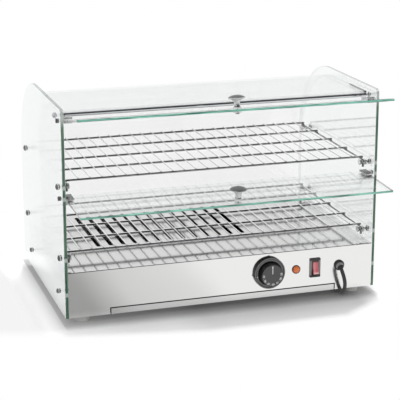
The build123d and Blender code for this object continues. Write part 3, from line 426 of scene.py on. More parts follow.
@finish
def sheath(point):
    """Heater sheath: steel gone brown and grey with heat."""
    bands = fade(stretched(point, (35, 12, 35), 4.0), 0.35, 0.7)
    scale = grain(point, 1200.0, 3.0)
    others = {"Metallic": 0.7, "Normal": raised(scale, 0.00004)}
    colour = tinted(bands, (0.09, 0.075, 0.065), (0.22, 0.20, 0.19))
    return principled(colour, 0.42 + scale * 0.2, others)


def scaled(colour, share, more=0.0):
    return tuple(share * level + more for level in colour)


def make_finishes(colours):
    """Every finish of the case, by the record's slot names and a few of the pieces' own."""
    edge, steel = tuple(colours.edge), tuple(colours.steel)
    orange, red = tuple(colours.lamp), tuple(colours.rocker)
    pane_tint = (0.982, 0.986, 0.984)

    glass("clear_glass", pane_tint, 0.01, 0.55, 2)
    glass("left_glass", pane_tint, 0.01, 1.1, 2)
    glass("flap_glass", (0.975, 0.982, 0.979), 0.015)
    glass("clear_sheet", (0.968, 0.969, 0.969), 0.02)
    pane_green = (0.018, 0.066, 0.036), (0.085, 0.205, 0.125)
    # The panes' front edges are painted paler above a height and at the fittings' levels, as
    # painted light
    ground_edge("pane_edge", *pane_green, (600, 14, 30), 0.356, edge_painted_light_levels)
    ground_edge("flap_edge", scaled(edge, 0.36), scaled(edge, 1.3, 0.10), (24, 80, 420))
    pale_edge("pane_rear_edge", (0.10, 0.13, 0.12), (0.32, 0.35, 0.34), 0.08, 0.5)
    pale_edge("flap_rear_edge", (0.20, 0.28, 0.25), (0.36, 0.44, 0.42), 0.0)
    pale_edge("flap_side_edge", (0.05, 0.055, 0.05), (0.16, 0.17, 0.16), 0.4)
    # The sheet's ends are painted near black ahead of a place, painted shade for how they look
    # through the sheet
    pale_edge("sheet_edge", 0.004, 0.03, 0.04, ahead=-0.014, gloss=0.1)
    # Painted reflections: these metals are painted another tone where they look up, in specks and
    # on part of their undersides, for the light and dark that they mirror
    painted_reflection_metal(
        "clamp_chrome", (0.78, 0.78, 0.785), (0.20, 0.20, 0.205), 0.18, (0.3, 0.9), (0.40, 0.70),
        painted_flecks=0.9,
    )
    painted_reflection_metal("stud_chrome", (0.78, 0.78, 0.79), (0.9, 0.9, 0.91), 0.08, (0.2, 0.8), (0.6, 0.8))
    painted_reflection_metal(
        "knob_chrome", (0.74, 0.745, 0.75), (0.17, 0.173, 0.176), 0.08, (0.15, 0.5), (0.55, 1.0),
        0.25,
    )
    painted_reflection_metal("shelf_wire", (0.18, 0.18, 0.185), 1.0, 0.10, painted_flecks=0.45, under=0.45)
    painted_reflection_metal("thin_wire", (0.24, 0.24, 0.245), 1.0, 0.12, (0.25, 0.50), painted_flecks=0.3, under=0.3)
    for name, dark, light, roughness in (
        ("chrome", (0.58, 0.59, 0.60), (0.72, 0.73, 0.75), 0.04),
        ("head_steel", 0.07, 0.30, 0.12),
        ("screw_steel", 0.32, 0.46, 0.20),
        ("contact_brass", (0.56, 0.42, 0.20), (0.76, 0.60, 0.32), 0.2),
    ):
        polished(name, dark, light, roughness)

    brushed("panel_steel", scaled(steel, 0.95), steel, 0.10, 0.000006)
    brushed("deck_steel", (0.72, 0.72, 0.715), (0.78, 0.78, 0.775), 0.05, 0.000002, 0.05)
    brushed("inner_steel", 0.45, 0.58, 0.3, 0.00001)
    tray_front("tray_steel", scaled(steel, 0.75), scaled(steel, 0.85))
    sheath("element_sheath")

    for name, dark, light, roughness, coat in (
        ("black_plastic", (0.018, 0.018, 0.019), (0.035, 0.035, 0.036), 0.38, 0.0),
        # The gland is black plastic; its light grey is a painted highlight
        ("gland_grey", (0.24, 0.24, 0.242), (0.44, 0.44, 0.442), 0.30, 0.0),
        ("groove_black", 0.012, 0.030, 0.4, 0.0),
        ("white_plastic", (0.72, 0.72, 0.70), (0.84, 0.84, 0.82), 0.36, 0.0),
        ("white_paint", (0.74, 0.74, 0.73), (0.88, 0.88, 0.87), 0.5, 0.0),
        ("clear_nylon", (0.66, 0.68, 0.67), (0.82, 0.83, 0.82), 0.25, 0.3),
        ("lamp_rim", (0.10, 0.022, 0.008), (0.18, 0.045, 0.014), 0.25, 0.2),
        ("soft_pad", 0.55, 0.68, 0.6, 0.0),
        ("ceramic", (0.74, 0.71, 0.64), (0.86, 0.83, 0.77), 0.32, 0.2),
        ("lead_insulation", (0.62, 0.61, 0.56), (0.76, 0.75, 0.70), 0.5, 0.0),
    ):
        moulded(name, dark, light, roughness, coat=coat)
    moulded("cord_rubber", (0.020, 0.020, 0.021), (0.060, 0.060, 0.061), 0.38, 0.00005)
    # Painted light: the dial and knob are painted paler where they face forward and near black on
    # their walls, as lit and shaded sides
    painted_lit_front("dial_black", 0.008, (0.21, 0.21, 0.212), 0.34)
    painted_lit_front("well_black", 0.004, 0.008, 0.5)
    painted_lit_front("knob_grey", 0.004, (0.105, 0.105, 0.107), 0.40)
    framed("switch_grey", (0.035, 0.034, 0.035), (0.26, 0.25, 0.245))
    lens("lamp_orange", scaled(orange, 0.7), orange, 0.18)
    rocker_skin("rocker_red", scaled(red, 0.08), red, (0.90, 0.52, 0.52))


# Shapes

def around(turn, reach=1.0, centre=(0, 0)):
    """The point at a turn in degrees and a reach from a centre, in a plane."""
    angle = math.radians(turn)
    return Vector((centre[0] + reach * math.cos(angle), centre[1] + reach * math.sin(angle)))


def arc(centre, radius, start, end, steps):
    """Points on an arc between two turns in degrees."""
    turns = [start + (end - start) * step / steps for step in range(steps + 1)]
    return [around(turn, radius, centre) for turn in turns]


def ring_of(where, reaches, height=0):
    """Points around the Z axis of a place, one for each reach, in millimetres."""
    ring = []
    for step, reach in enumerate(reaches):
        point = Vector((*around(360 * step / len(reaches), reach), height))
        ring.append(where @ (0.001 * point))
    return ring


def facing(origin, direction):
    """A place at a point, with its Z axis along a direction and its Y axis as near up as can be."""
    turn = Vector(direction).to_track_quat("Z", "Y")
    return Matrix.Translation(origin) @ turn.to_matrix().to_4x4()


def on_panel(x, y=panel_y, z=control_z):
    """A place on the front panel that looks forward, with X to the right and Y up."""
    return facing((x, y, z), (0, -1, 0))


def turned_by(angle, x=0, z=0):
    """A turn about Z in degrees, and then a shift in millimetres."""
    shift = Matrix.Translation((0.001 * x, 0, 0.001 * z))
    return Matrix.Rotation(math.radians(angle), 4, "Z") @ shift


def add_object(name, data):
    made = bpy.data.objects.new(name, data)
    bpy.context.scene.collection.objects.link(made)
    return made


def aim(thing, direction):
    """Turn a camera or a light so that it looks in a direction, upright."""
    thing.rotation_mode = "QUATERNION"
    thing.rotation_quaternion = Vector(direction).to_track_quat("-Z", "Y")


def add_piece(name, data, body, slot, *nodes):
    """Put a mesh or curve on a body, and hide the nodes that it stands for. Its slot is not used.
    """
    piece = add_object(name, data)
    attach(piece, body)
    if nodes:
        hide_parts(*nodes)
    return piece


class Shape:
    """Points and faces of a piece while it is made. A face's part picks its finish."""

    def __init__(self):
        self.points = []
        self.faces = []
        self.parts = []

    def add(self, points, faces, part=0):
        first = len(self.points)
        self.points += [tuple(point) for point in points]
        self.faces += [[first + corner for corner in face] for face in faces]
        self.parts += [part] * len(faces)
        return self

    def bridge(self, rings, part=0, caps=True, closed=True):
        """Skin over rings of equally many points, with or without a face at each end."""
        count = len(rings[0])
        points = [point for ring in rings for point in ring]
        faces = []
        for row in range(len(rings) - 1):
            for corner in range(count if closed else count - 1):
                here, after = row * count + corner, row * count + (corner + 1) % count
                faces.append([here, after, after + count, here + count])
        if caps:
            faces.append(list(range(count))[::-1])
            faces.append([(len(rings) - 1) * count + corner for corner in range(count)])
        return self.add(points, faces, part)

    def turn(self, profile, where, sides, part=0, flats=()):
        """Turn a profile of radii and heights in millimetres about the Z axis of a place. Rows
        listed in flats are six-sided."""
        sixth = math.pi / 3
        angles = [2 * math.pi * step / sides for step in range(sides)]
        rings = []
        for row, (radius, height) in enumerate(profile):
            reaches = [radius] * sides
            if row in flats:
                turns = [(angle + sixth / 2) % sixth - sixth / 2 for angle in angles]
                reaches = [radius / math.cos(turn) for turn in turns]
            rings.append(ring_of(where, reaches, height))
        return self.bridge(rings, part)

    def mesh(self, name, *looks, smooth=38):
        """The finished mesh, smooth except over edges sharper than an angle in degrees."""
        mesh = bpy.data.meshes.new(name)
        mesh.from_pydata(self.points, [], self.faces)
        mesh.polygons.foreach_set("material_index", self.parts)
        for look in looks:
            mesh.materials.append(finishes[look])
        mesh.polygons.foreach_set("use_smooth", [smooth > 0] * len(mesh.polygons))
        if smooth > 0:
            mesh.set_sharp_from_angle(angle=math.radians(smooth))
        mesh.update()
        return mesh

    def piece(self, name, body, slot, looks, *nodes, smooth=38):
        """Add the shape as a piece with one finish, or a tuple of them."""
        looks = looks if isinstance(looks, tuple) else (looks,)
        return add_piece(name, self.mesh(name, *looks, smooth=smooth), body, slot, *nodes)


def wire_data(name, thickest, steps, *looks):
    """An empty curve with a round section."""
    data = bpy.data.curves.new(name, "CURVE")
    data.dimensions = "3D"
    data.bevel_depth = thickest
    data.bevel_resolution = steps
    data.use_fill_caps = True
    for look in looks:
        data.materials.append(finishes[look])
    return data


# How far back from a wire's end its rounding has which share of its radius, in radii
wire_end = ((0.0, 0.35), (0.06, 0.62), (0.3, 0.9), (0.6, 1.0))


def add_wire(data, points, radius, part=0):
    """A round wire with rounded ends, along a line of points. Its part picks its finish."""
    points = [Vector(point) for point in points]
    first = (points[0] - points[1]).normalized()
    last = (points[-1] - points[-2]).normalized()
    line = [(points[0] - first * radius * back, share) for back, share in wire_end]
    line += [(point, 1.0) for point in points[1:-1]]
    line += [(points[-1] - last * radius * back, share) for back, share in reversed(wire_end)]
    spline = data.splines.new("POLY")
    spline.points.add(len(line) - 1)
    for control, (point, share) in zip(spline.points, line):
        control.co = (*point, 1)
        control.radius = share * radius / data.bevel_depth
    spline.use_smooth = True
    spline.material_index = part


# Sizes and colours that a user would change

def length(name, description, default):
    return FloatProperty(name=name, description=description, default=default, unit="LENGTH")


def shade(name, description, default):
    return FloatVectorProperty(
        name=name, description=description, default=default, subtype="COLOR",
    )


class CaseSizes(bpy.types.PropertyGroup):
    """Sizes of the fine pieces."""

    arris: length("Ground edge", "Width of the ground corner of each glass plate", 0.0006)
    flap_glass: length("Flap glass", "Thickness of the flaps' glass", 0.005)
    rail_radius: length("Rail radius", "Radius of a shelf's side rails", 0.0023)
    row_radius: length("Row radius", "Radius of a shelf's thick rows", 0.00225)
    thin_radius: length("Wire radius", "Radius of a shelf's thin wires", 0.001)
    thin_count: IntProperty(name="Thin wires", description="Thin wires on a shelf", default=25)
    row_count: IntProperty(name="Rows", description="Thick rows of a shelf", default=5)
    knob_radius: length("Pull knob radius", "Radius of the flaps' pull knobs", 0.015)
    knob_height: length("Pull knob height", "Height of a pull knob over its washer", 0.022)
    cord_diameter: length("Cord diameter", "Thickness of the supply cord", 0.007)
    figure_height: length("Figure height", "Height of the figures on the knob", 0.0046)


class CaseColours(bpy.types.PropertyGroup):
    """Colours of the finishes."""

    edge: shade("Glass edge", "Colour that the flaps' ground edges gather", (0.18, 0.53, 0.41))
    steel: shade("Brushed steel", "Colour of the front panel and the tray", (0.86, 0.86, 0.85))
    lamp: shade("Pilot lamp", "Colour of the pilot lamp's lens", (0.80, 0.19, 0.04))
    rocker: shade("Rocker", "Colour of the switch's rocker", (0.62, 0.13, 0.15))


def sizes():
    return bpy.context.scene.case_sizes


# Camera and cord

# The camera's heading, fall and roll in degrees, its place in metres, and its lens
camera_angles = (18.37, 15.73, 0.16)
camera_spot = (-0.7732, -2.4535, 0.9005)
camera_lens = {
    "sensor_width": 36, "lens": 127.56, "shift_x": -0.055, "shift_y": -0.0121, "clip_start": 0.05,
    "clip_end": 50,
}


class CASE_OT_camera(bpy.types.Operator):
    """Stand the camera where the photograph was taken from."""

    bl_idname = "case.camera"
    bl_label = "Camera"

    def execute(self, context):
        data = bpy.data.cameras.new("camera")
        for name, value in camera_lens.items():
            setattr(data, name, value)
        camera = add_object("camera", data)
        heading, fall, roll = (math.radians(angle) for angle in camera_angles)
        level = math.cos(fall)
        forward = Vector((math.sin(heading) * level, math.cos(heading) * level, -math.sin(fall)))
        aim(camera, forward)
        camera.rotation_quaternion @= Matrix.Rotation(roll, 3, "Z").to_quaternion()
        camera.location = camera_spot
        context.scene.camera = camera
        return {"FINISHED"}


# The cord's way in metres: out of the gland, down in front of the panel, under the base and out
# behind it, then its coil, then up into the plug
cord_route = [
    (0.2240, -0.152096, 0.0571), (0.2240, -0.165599, 0.048331), (0.2282, -0.166596, 0.0270),
    (0.2310, -0.148396, 0.0042), (0.2331, -0.105496, 0.0039), (0.2282, -0.021896, 0.0039),
    (0.2149, 0.073104, 0.0039), (0.2107, 0.156704, 0.0039), (0.2037, 0.217504, 0.0039),
    (0.1960, 0.257504, 0.0039), (0.1960, 0.289504, 0.0039),
]
coil_centre = (0.150, 0.296504)
coil_radius = 0.046
coil_pitch = 0.0078
coil_turns = 4.25
coil_inmost_turn = 2.25
coil_step_turn = 2.0
coil_levels = (0.0039, 0.0116)
coil_exit_y = 0.340554
coil_exit = [
    (x, coil_exit_y, z)
    for x, z in ((0.1360, 0.0128), (0.1200, 0.0172), (0.1040, 0.0194), (0.0970, 0.0194))
]


def coil_points():
    """Turns that wind in on the counter, step up, and wind out again on top."""
    found = []
    per_turn = 14
    low, high = coil_levels
    for step in range(int(coil_turns * per_turn) + 1):
        turn = step / per_turn
        radius = coil_radius - coil_pitch * (coil_inmost_turn - abs(turn - coil_inmost_turn))
        climb = min(max(turn - coil_step_turn, 0.0), 0.5)
        height = low + (high - low) * (1 - math.cos(2 * math.pi * climb)) / 2
        found.append((*around(360 * turn, radius, coil_centre), height))
    return found


class CASE_OT_cord(bpy.types.Operator):
    """Lay the supply cord from its gland to its plug."""

    bl_idname = "case.cord"
    bl_label = "Supply cord"

    def execute(self, context):
        diameter = sizes().cord_diameter
        route = cord_route + coil_points() + coil_exit
        data = wire_data("supply_cord", diameter / 2, 5, "cord_rubber")
        data.resolution_u = 8
        spline = data.splines.new("NURBS")
        spline.points.add(len(route) - 1)
        for control, point in zip(spline.points, route):
            control.co = (*point, 1)
        spline.order_u = 3
        spline.use_endpoint_u = True
        cord = add_piece("supply_cord", data, "case", "cord_rubber", "power_cord", "cord_coil")
        return {"FINISHED"}


# Glass

def plate(outline, thickness, where, sides):
    """A flat plate with ground corners. Its faces are part 0, a side that sides names has the part
    given there, and the others are part 2."""
    count = len(outline)
    arris, least_spread = sizes().arris, 0.3
    middle = Vector([sum(point[way] for point in outline) / count for way in (0, 1)])
    inset = []
    for corner, point in enumerate(outline):
        point = Vector(point)
        along_in = (point - Vector(outline[corner - 1])).normalized()
        along_out = (Vector(outline[(corner + 1) % count]) - point).normalized()
        along = along_in + along_out
        inward = Vector((-along.y, along.x)).normalized()
        if inward.dot(middle - point) < 0:
            inward.negate()
        spread = max(least_spread, math.sqrt((1 + along_in.dot(along_out)) / 2))
        inset.append(point + inward * arris / spread)
    half = thickness / 2
    levels = ((-half, inset), (arris - half, outline), (half - arris, outline), (half, inset))
    rings = [[where @ Vector((*point, level)) for point in loop] for level, loop in levels]
    shape = Shape().bridge(rings, part=2, caps=False)
    for corner, side in sides.items():
        for row, part in enumerate((0, side, 0)):
            shape.parts[row * count + corner % count] = part
    shape.add(rings[0], [list(range(count))[::-1]])
    return shape.add(rings[-1], [list(range(count))])


class CASE_OT_side_panes(bpy.types.Operator):
    """Make the two glass sides with their rounded upper rear corners."""

    bl_idname = "case.side_panes"
    bl_label = "Side panes"

    def execute(self, context):
        bend, nose = 0.150, 0.008
        outline = [(front_y, pane_foot_z), (back_y, pane_foot_z)]
        outline += arc((back_y - bend, top_z - bend), bend, 0, 90, 30)
        outline += arc((front_y + nose, top_z - nose), nose, 90, 180, 6)
        front_sides = {-1: 1, -2: 1, -3: 1}
        upright = Matrix(((0, 0, 1), (1, 0, 0), (0, 1, 0))).to_4x4()
        for side, name, look in ((-1, "left", "left_glass"), (1, "right", "clear_glass")):
            where = Matrix.Translation((side * (inner_half + half_width) / 2, 0, 0)) @ upright
            pane = plate(outline, half_width - inner_half, where, front_sides)
            looks = (look, "pane_edge", "pane_rear_edge")
            node = f"{name}_side_pane"
            pane.piece(f"{name}_pane", "case", "clear_glass", looks, node, smooth=20)
        return {"FINISHED"}


class CASE_OT_bent_sheet(bpy.types.Operator):
    """Bend the clear sheet that makes the top and the back."""

    bl_idname = "case.bent_sheet"
    bl_label = "Bent sheet"

    def execute(self, context):
        flat, radius, least = 0.002, 0.168, 0.0004
        arris, half = sizes().arris, sheet_high.x
        right = [(half - arris, flat), (half, flat - arris)]
        outer = [(-x, rise) for x, rise in reversed(right)] + right
        section = outer + [(x, -rise) for x, rise in reversed(outer)]

        front = Vector((sheet_low.y, sheet_high.z - flat))
        foot = Vector((sheet_high.y - flat, sheet_low.z))
        centre = Vector((foot.x - radius, front.y - radius))
        stations = [(front, 90, arris), (front + Vector((arris, 0)), 90, 0.0)]
        stations += [(around(turn, radius, centre), turn, 0.0) for turn in range(90, -1, -3)]
        stations += [(foot + Vector((0, arris)), 0, 0.0), (foot, 0, arris)]
        rings = []
        for point, turn, pinch in stations:
            ring = []
            for x, rise in section:
                rise = math.copysign(max(abs(rise) - pinch, least), rise)
                spot = around(turn, rise, point)
                ring.append((math.copysign(abs(x) - pinch, x), spot.x, spot.y))
            rings.append(ring)
        sheet = Shape().bridge(rings, part=1)
        count = len(section)
        for row in range(1, len(rings) - 2):
            for broad_face in (1, 5):
                sheet.parts[row * count + broad_face] = 0
        looks = ("clear_sheet", "sheet_edge")
        sheet.piece("bent_sheet", "case", "clear_sheet", looks, "rear_top_sheet", smooth=20)
        return {"FINISHED"}


def flap_place(which):
    """A flap's middle plane: X across, Y up the glass, Z out of its outer face."""
    turn = math.radians(flap_angle[which])
    up = Vector((0, math.sin(turn), math.cos(turn)))
    out = Vector((0, -math.cos(turn), math.sin(turn)))
    axes = Matrix((Vector((1, 0, 0)), up, out)).transposed().to_4x4()
    return Matrix.Translation((0, pivot_y, pivot_z[which])) @ axes


# A pull knob's profile, in shares of its radius and of its height
knob_profile = [
    (0.0, 0.0), (0.39, 0.0), (0.41, 0.02), (0.40, 0.06), (0.36, 0.10), (0.345, 0.18), (0.34, 0.30),
    (0.36, 0.40), (0.42, 0.49), (0.53, 0.57), (0.69, 0.635), (0.86, 0.68), (0.955, 0.705),
    (0.99, 0.725), (1.0, 0.755), (0.99, 0.785), (0.95, 0.81), (0.86, 0.855), (0.70, 0.91),
    (0.48, 0.96), (0.22, 0.99), (0.0, 0.995),
]


class CASE_OT_flaps(bpy.types.Operator):
    """Cut the two glass flaps and turn their pull knobs."""

    bl_idname = "case.flaps"
    bl_label = "Flaps and pull knobs"

    def execute(self, context):
        radius, height = 1000 * sizes().knob_radius, 1000 * sizes().knob_height
        profile = [(share * radius, rise * height) for share, rise in knob_profile]
        thickness, half = sizes().flap_glass, flap_half
        washer, knob_rise = 0.002, 0.022
        for which, drop in flap_drop.items():
            flap, where = f"{which}_flap", flap_place(which)
            outline = [(-half, -drop), (half, -drop), (half, flap_tail), (-half, flap_tail)]
            pane = plate(outline, thickness, where, {0: 1, 1: 3, 3: 3})
            looks = ("flap_glass", "flap_edge", "flap_rear_edge", "flap_side_edge")
            pane.piece(f"{flap}_plate", flap, "flap_glass", looks, f"{flap}_glass", smooth=20)

            spot = Matrix.Translation((0, knob_rise - drop, thickness / 2 + washer))
            knob = Shape().turn(profile, where @ spot, sides=48)
            name = f"{which}_pull_knob"
            knob.piece(name, flap, "chrome", "knob_chrome", f"{flap}_knob", smooth=50)
        return {"FINISHED"}


# Shelves. A weld's profile has radii and heights in millimetres

thin_weld = [(0, -0.7), (1.2, -0.3), (1.4, 0), (1.1, 0.4), (0, 0.6)]
rail_weld = [(0, -1.2), (1.9, -0.6), (2.3, 0), (1.8, 0.7), (0, 1)]


class CASE_OT_shelves(bpy.types.Operator):
    """Bend and weld the two wire shelves."""

    bl_idname = "case.shelves"
    bl_label = "Wire shelves"

    def execute(self, context):
        rail, row, thin = sizes().rail_radius, sizes().row_radius, sizes().thin_radius
        rows, wires = sizes().row_count, sizes().thin_count
        rail_x, hook_bore, hook_drop, sunk = 0.2805, 0.0041, 0.008, 0.0004
        hook = hook_bore + rail
        front, rear = stud_y["front"], stud_y["rear"]
        row_ys = [front + (rear - front) * step / (rows - 1) for step in range(rows)]
        pitch = 2 * rail_x / (wires + 1)
        thin_xs = [pitch * step - rail_x for step in range(1, wires + 1)]
        for which, level in stud_z.items():
            row_z = level + hook + rail + row - sunk
            thin_z = row_z + row + thin - sunk
            data = wire_data(f"{which}_shelf_wires", rail, 4, "shelf_wire", "thin_wire")
            for x in (-rail_x, rail_x):
                line = [(front - hook, level - hook_drop)]
                line += arc((front, level), hook, 180, 90, 10)
                line += arc((rear, level), hook, 90, 0, 10)
                line += [(rear + hook, level - hook_drop)]
                add_wire(data, [(x, y, z) for y, z in line], rail)
            for y in row_ys:
                add_wire(data, [(-rail_x - rail, y, row_z), (rail_x + rail, y, row_z)], row)
            for x in thin_xs:
                add_wire(data, [(x, front - row, thin_z), (x, rear + row, thin_z)], thin, 1)
            body = f"{which}_shelf"
            add_piece(f"{which}_shelf_wires", data, body, "shelf_wire", f"{which}_shelf")

            beads = Shape()
            thin_foot, rail_foot = thin_z - thin * 0.7, row_z - row * 0.9
            for y in row_ys:
                for x in thin_xs:
                    beads.turn(thin_weld, Matrix.Translation((x, y, thin_foot)), sides=8)
                for x in (-rail_x, rail_x):
                    beads.turn(rail_weld, Matrix.Translation((x, y, rail_foot)), sides=12)
            beads.piece(f"{which}_shelf_welds", body, "shelf_wire", "shelf_wire", smooth=60)
        return {"FINISHED"}


# Studs, screws and the rod

stud_profile = [
    (0, 0), (5.45, 0), (5.75, 0.3), (5.75, 2.7), (5.45, 3), (4.3, 3), (4, 3.3), (4, 11.7),
    (4.3, 12), (5.45, 12), (5.75, 12.3), (5.75, 13.6), (5.3, 14), (0, 14),
]


def screw_profile(radius, reach):
    """A screw's head of a radius, with a shank that reaches inwards and a six-sided socket."""
    socket = radius * 0.42
    return [
        (0, -reach), (1.7, -reach), (2, 0.3 - reach), (2, 0), (radius * 0.97, 0), (radius, 0.2),
        (radius, 0.9), (radius * 0.94, 1.8), (radius * 0.80, 2.5), (radius * 0.60, 2.9),
        (socket * 1.12, 3), (socket, 2.8), (socket, 1.2), (0, 1),
    ]


# The rows of that profile that make the socket
socket_rows = (11, 12)


class CASE_OT_fittings(bpy.types.Operator):
    """Turn the shelf studs, the side screws' heads and the rod under the sheet."""

    bl_idname = "case.fittings"
    bl_label = "Studs, screws and rod"

    def execute(self, context):
        stud_spots = [(y, z) for y in stud_y.values() for z in stud_z.values()]
        base_spots = [(y, base_screw_z) for y in base_screw_y]
        grommet = 0.0008
        studs = Shape()
        for side in (-1, 1):
            for y, z in stud_spots:
                where = facing((side * inner_half, y, z), (-side, 0, 0))
                studs.turn(stud_profile, where, sides=28)
        studs.piece("turned_studs", "case", "chrome", "stud_chrome", "shelf_studs")

        for name, spots, radius, reach, look, node in (
            ("stud", stud_spots, 5.5, 14.8, "head_steel", "shelf_stud_screws"),
            ("rod", [(rod_y, rod_z)], 5.25, 23.8, "chrome", "tie_rod_screws"),
            ("base", base_spots, 4.5, 16.3, "head_steel", "base_side_screws"),
        ):
            heads = Shape()
            profile = screw_profile(radius, reach)
            for side in (-1, 1):
                for y, z in spots:
                    where = facing((side * (half_width + grommet), y, z), (side, 0, 0))
                    heads.turn(profile, where, sides=24, flats=socket_rows)
            heads.piece(f"{name}_screw_heads", "case", "chrome", look, node)

        long = 2000 * inner_half
        profile = [(0, 0), (3.6, 0), (4, 0.4), (4, long - 0.4), (3.6, long), (0, long)]
        rod = Shape().turn(profile, facing((-inner_half, rod_y, rod_z), (1, 0, 0)), sides=32)
        rod.piece("polished_rod", "case", "chrome", "chrome", "tie_rod")
        return {"FINISHED"}


# Controls

def figure_points(text, height):
    """A number's flat mesh about its own middle, as points and faces."""
    figure_share = 0.7
    data = bpy.data.curves.new("figure", "FONT")
    data.body = text
    data.size = height / figure_share
    data.align_x = "CENTER"
    data.align_y = "CENTER"
    data.resolution_u = 4
    data.offset = height * 0.022
    data.extrude = 0.00006
    carrier = bpy.data.objects.new("figure", data)
    mesh = bpy.data.meshes.new_from_object(carrier)
    points = [vertex.co.copy() for vertex in mesh.vertices]
    faces = [list(polygon.vertices) for polygon in mesh.polygons]
    bpy.data.objects.remove(carrier)
    bpy.data.curves.remove(data)
    bpy.data.meshes.remove(mesh)
    return points, faces


# Angles on the dial are in degrees, from the right and upwards

figures = ("30", "40", "50", "60", "70", "80", "90")
first_figure_angle = 181.0
figure_step = 30.8
stop_angles = (86, 189)
tick_angle = 193
# The right half of the pointer, and its tip, in millimetres
pointer_side = [(0.7, 3), (0.7, 14.4), (1.3, 15), (1, 17.2)]
pointer_tip = (0, 18.4)
# How far out the figures and the dots between them stand, in millimetres, and a figure's width
# as a share of what its typeface has
figure_reach = 17
dot_reach = 18.3
figure_width = 0.8


class CASE_OT_thermostat(bpy.types.Operator):
    """Turn the thermostat's dial ring and knob, with the figures and the pointer on its face."""

    bl_idname = "case.thermostat"
    bl_label = "Thermostat"

    def execute(self, context):
        shade_disc_depth, mark_depth = 0.0045, 0.0002
        centre = on_panel(dial_x)
        deep = 1000 * (panel_y - dial_low.y)
        outer = 500 * (dial_high.x - dial_low.x)
        profile = [
            (5.2, 0), (outer, 0), (outer, deep - 0.8), (outer - 0.4, deep - 0.2), (outer - 1, deep),
            (outer - 2.6, deep), (outer - 3.1, deep - 0.3), (outer - 3.4, deep - 0.6),
            (23.4, deep - 0.6), (23.1, deep - 0.9), (23, deep - 4.6), (5.2, deep - 4.6),
        ]
        ring = Shape().turn(profile, centre, sides=96)
        # A near-black disc just in front of the recess floor: painted shade in the gap around the
        # knob
        shade_disc = [(5.3, 0), (22.95, 0), (22.95, 0.3), (5.3, 0.3)]
        ring.turn(shade_disc, on_panel(dial_x, y=dial_low.y + shade_disc_depth), sides=96, part=1)
        stop = [(0, 0), (1.9, 0), (1.9, deep - 0.4), (1.4, deep + 0.1), (0, deep + 0.3)]
        for angle in stop_angles:
            ring.turn(stop, centre @ turned_by(angle, outer - 0.8), sides=18)
        looks = ("dial_black", "well_black")
        ring.piece("dial_ring", "case", "dial_black", looks, "thermostat_dial", smooth=30)

        spot = turned_by(tick_angle, outer - 5, deep - 0.6) @ Matrix.Diagonal((1.4, 0.8, 1, 1))
        tick = Shape().turn([(0, 0), (1, 0), (1, 0.08), (0, 0.1)], centre @ spot, sides=16)
        tick.piece("dial_tick", "case", "white_plastic", "white_paint")

        long = 1000 * (knob_back_y - knob_front_y)
        profile = [
            (3.1, 0), (20.8, 0), (21.4, 0.3), (21.5, 1), (21.5, 2.4), (21.2, 3.4), (21, long - 1.4),
            (20.8, long - 0.6), (20.4, long - 0.1), (20, long), (19.2, long), (19, long - 0.2),
            (0, long - 0.2),
        ]
        cap = Shape().turn(profile, on_panel(dial_x, y=knob_back_y), sides=96)
        body = "thermostat_knob"
        cap.piece("thermostat_cap", body, "dial_black", "knob_grey", body, smooth=30)

        marks = Shape()
        face = on_panel(dial_x, y=knob_front_y + mark_depth)
        dot = [(0, 0), (0.45, 0), (0.4, 0.06), (0, 0.08)]
        for number, text in enumerate(figures):
            angle = first_figure_angle + figure_step * number
            points, faces = figure_points(text, sizes().figure_height)
            narrow = Matrix.Diagonal((figure_width, 1, 1, 1))
            turn = face @ turned_by(angle, figure_reach) @ turned_by(-90) @ narrow
            marks.add([turn @ point for point in points], faces)
            if number < len(figures) - 1:
                spot = turned_by(angle + figure_step / 2, dot_reach)
                marks.turn(dot, face @ spot, sides=10)
        left = [(-x, y) for x, y in reversed(pointer_side)]
        pointer = left[-1:] + pointer_side + [pointer_tip] + left[:-1]
        layers = [[0.001 * Vector((x, y, z)) for x, y in pointer] for z in (0, 0.08)]
        marks.bridge([[face @ point for point in layer] for layer in layers])
        marks.piece("thermostat_marks", body, "white_plastic", "white_paint", smooth=0)
        return {"FINISHED"}


class CASE_OT_lamp(bpy.types.Operator):
    """Mould the pilot lamp's rim and faceted dome."""

    bl_idname = "case.lamp"
    bl_label = "Pilot lamp"

    def execute(self, context):
        where = on_panel(lamp_x)
        high = 1000 * (panel_y - lamp_low.y)
        outer = 500 * (lamp_high.x - lamp_low.x)
        profile = [(0, 0), (outer, 0), (outer, 1.2), (outer - 0.4, 1.8), (outer - 1.3, 2), (0, 1.6)]
        rim = Shape().turn(profile, where, sides=48)
        rim.piece("lamp_rim", "case", "lamp_orange", "lamp_rim", "pilot_lamp_lens")

        base, foot = outer - 1.7, 1.5
        ridge, tip = 0.035, 0.2
        rings = []
        for row in range(9):
            tilt = math.radians(90 * row / 8)
            lean = math.cos(tilt)
            shares = [1.0 + (ridge * lean if step % 4 < 2 else 0.0) for step in range(40)]
            reaches = [max(base * lean * share / (1 + ridge), tip) for share in shares]
            rings.append(ring_of(where, reaches, foot + (high - foot) * math.sin(tilt)))
        dome = Shape().bridge(rings)
        dome.piece("lamp_dome", "case", "lamp_orange", "lamp_orange", smooth=18)
        return {"FINISHED"}


gland_flange = [
    (0, -14), (7.2, -14), (7.8, -13.4), (7.8, 0), (9.7, 0), (10, 0.3), (10, 2.1), (9.5, 2.8),
    (8.8, 3), (0, 3),
]
# Places along the gland's nose, with the nose's thickness there as a share
gland_ribs = (
    (0.0, 1.06), (0.08, 1.0), (0.2, 1.0), (0.24, 0.94), (0.32, 0.94), (0.36, 1.0), (0.48, 1.0),
    (0.52, 0.93), (0.60, 0.93), (0.64, 1.0), (0.76, 1.0), (0.80, 0.95), (0.90, 0.96), (0.97, 0.93),
    (1.0, 0.86),
)
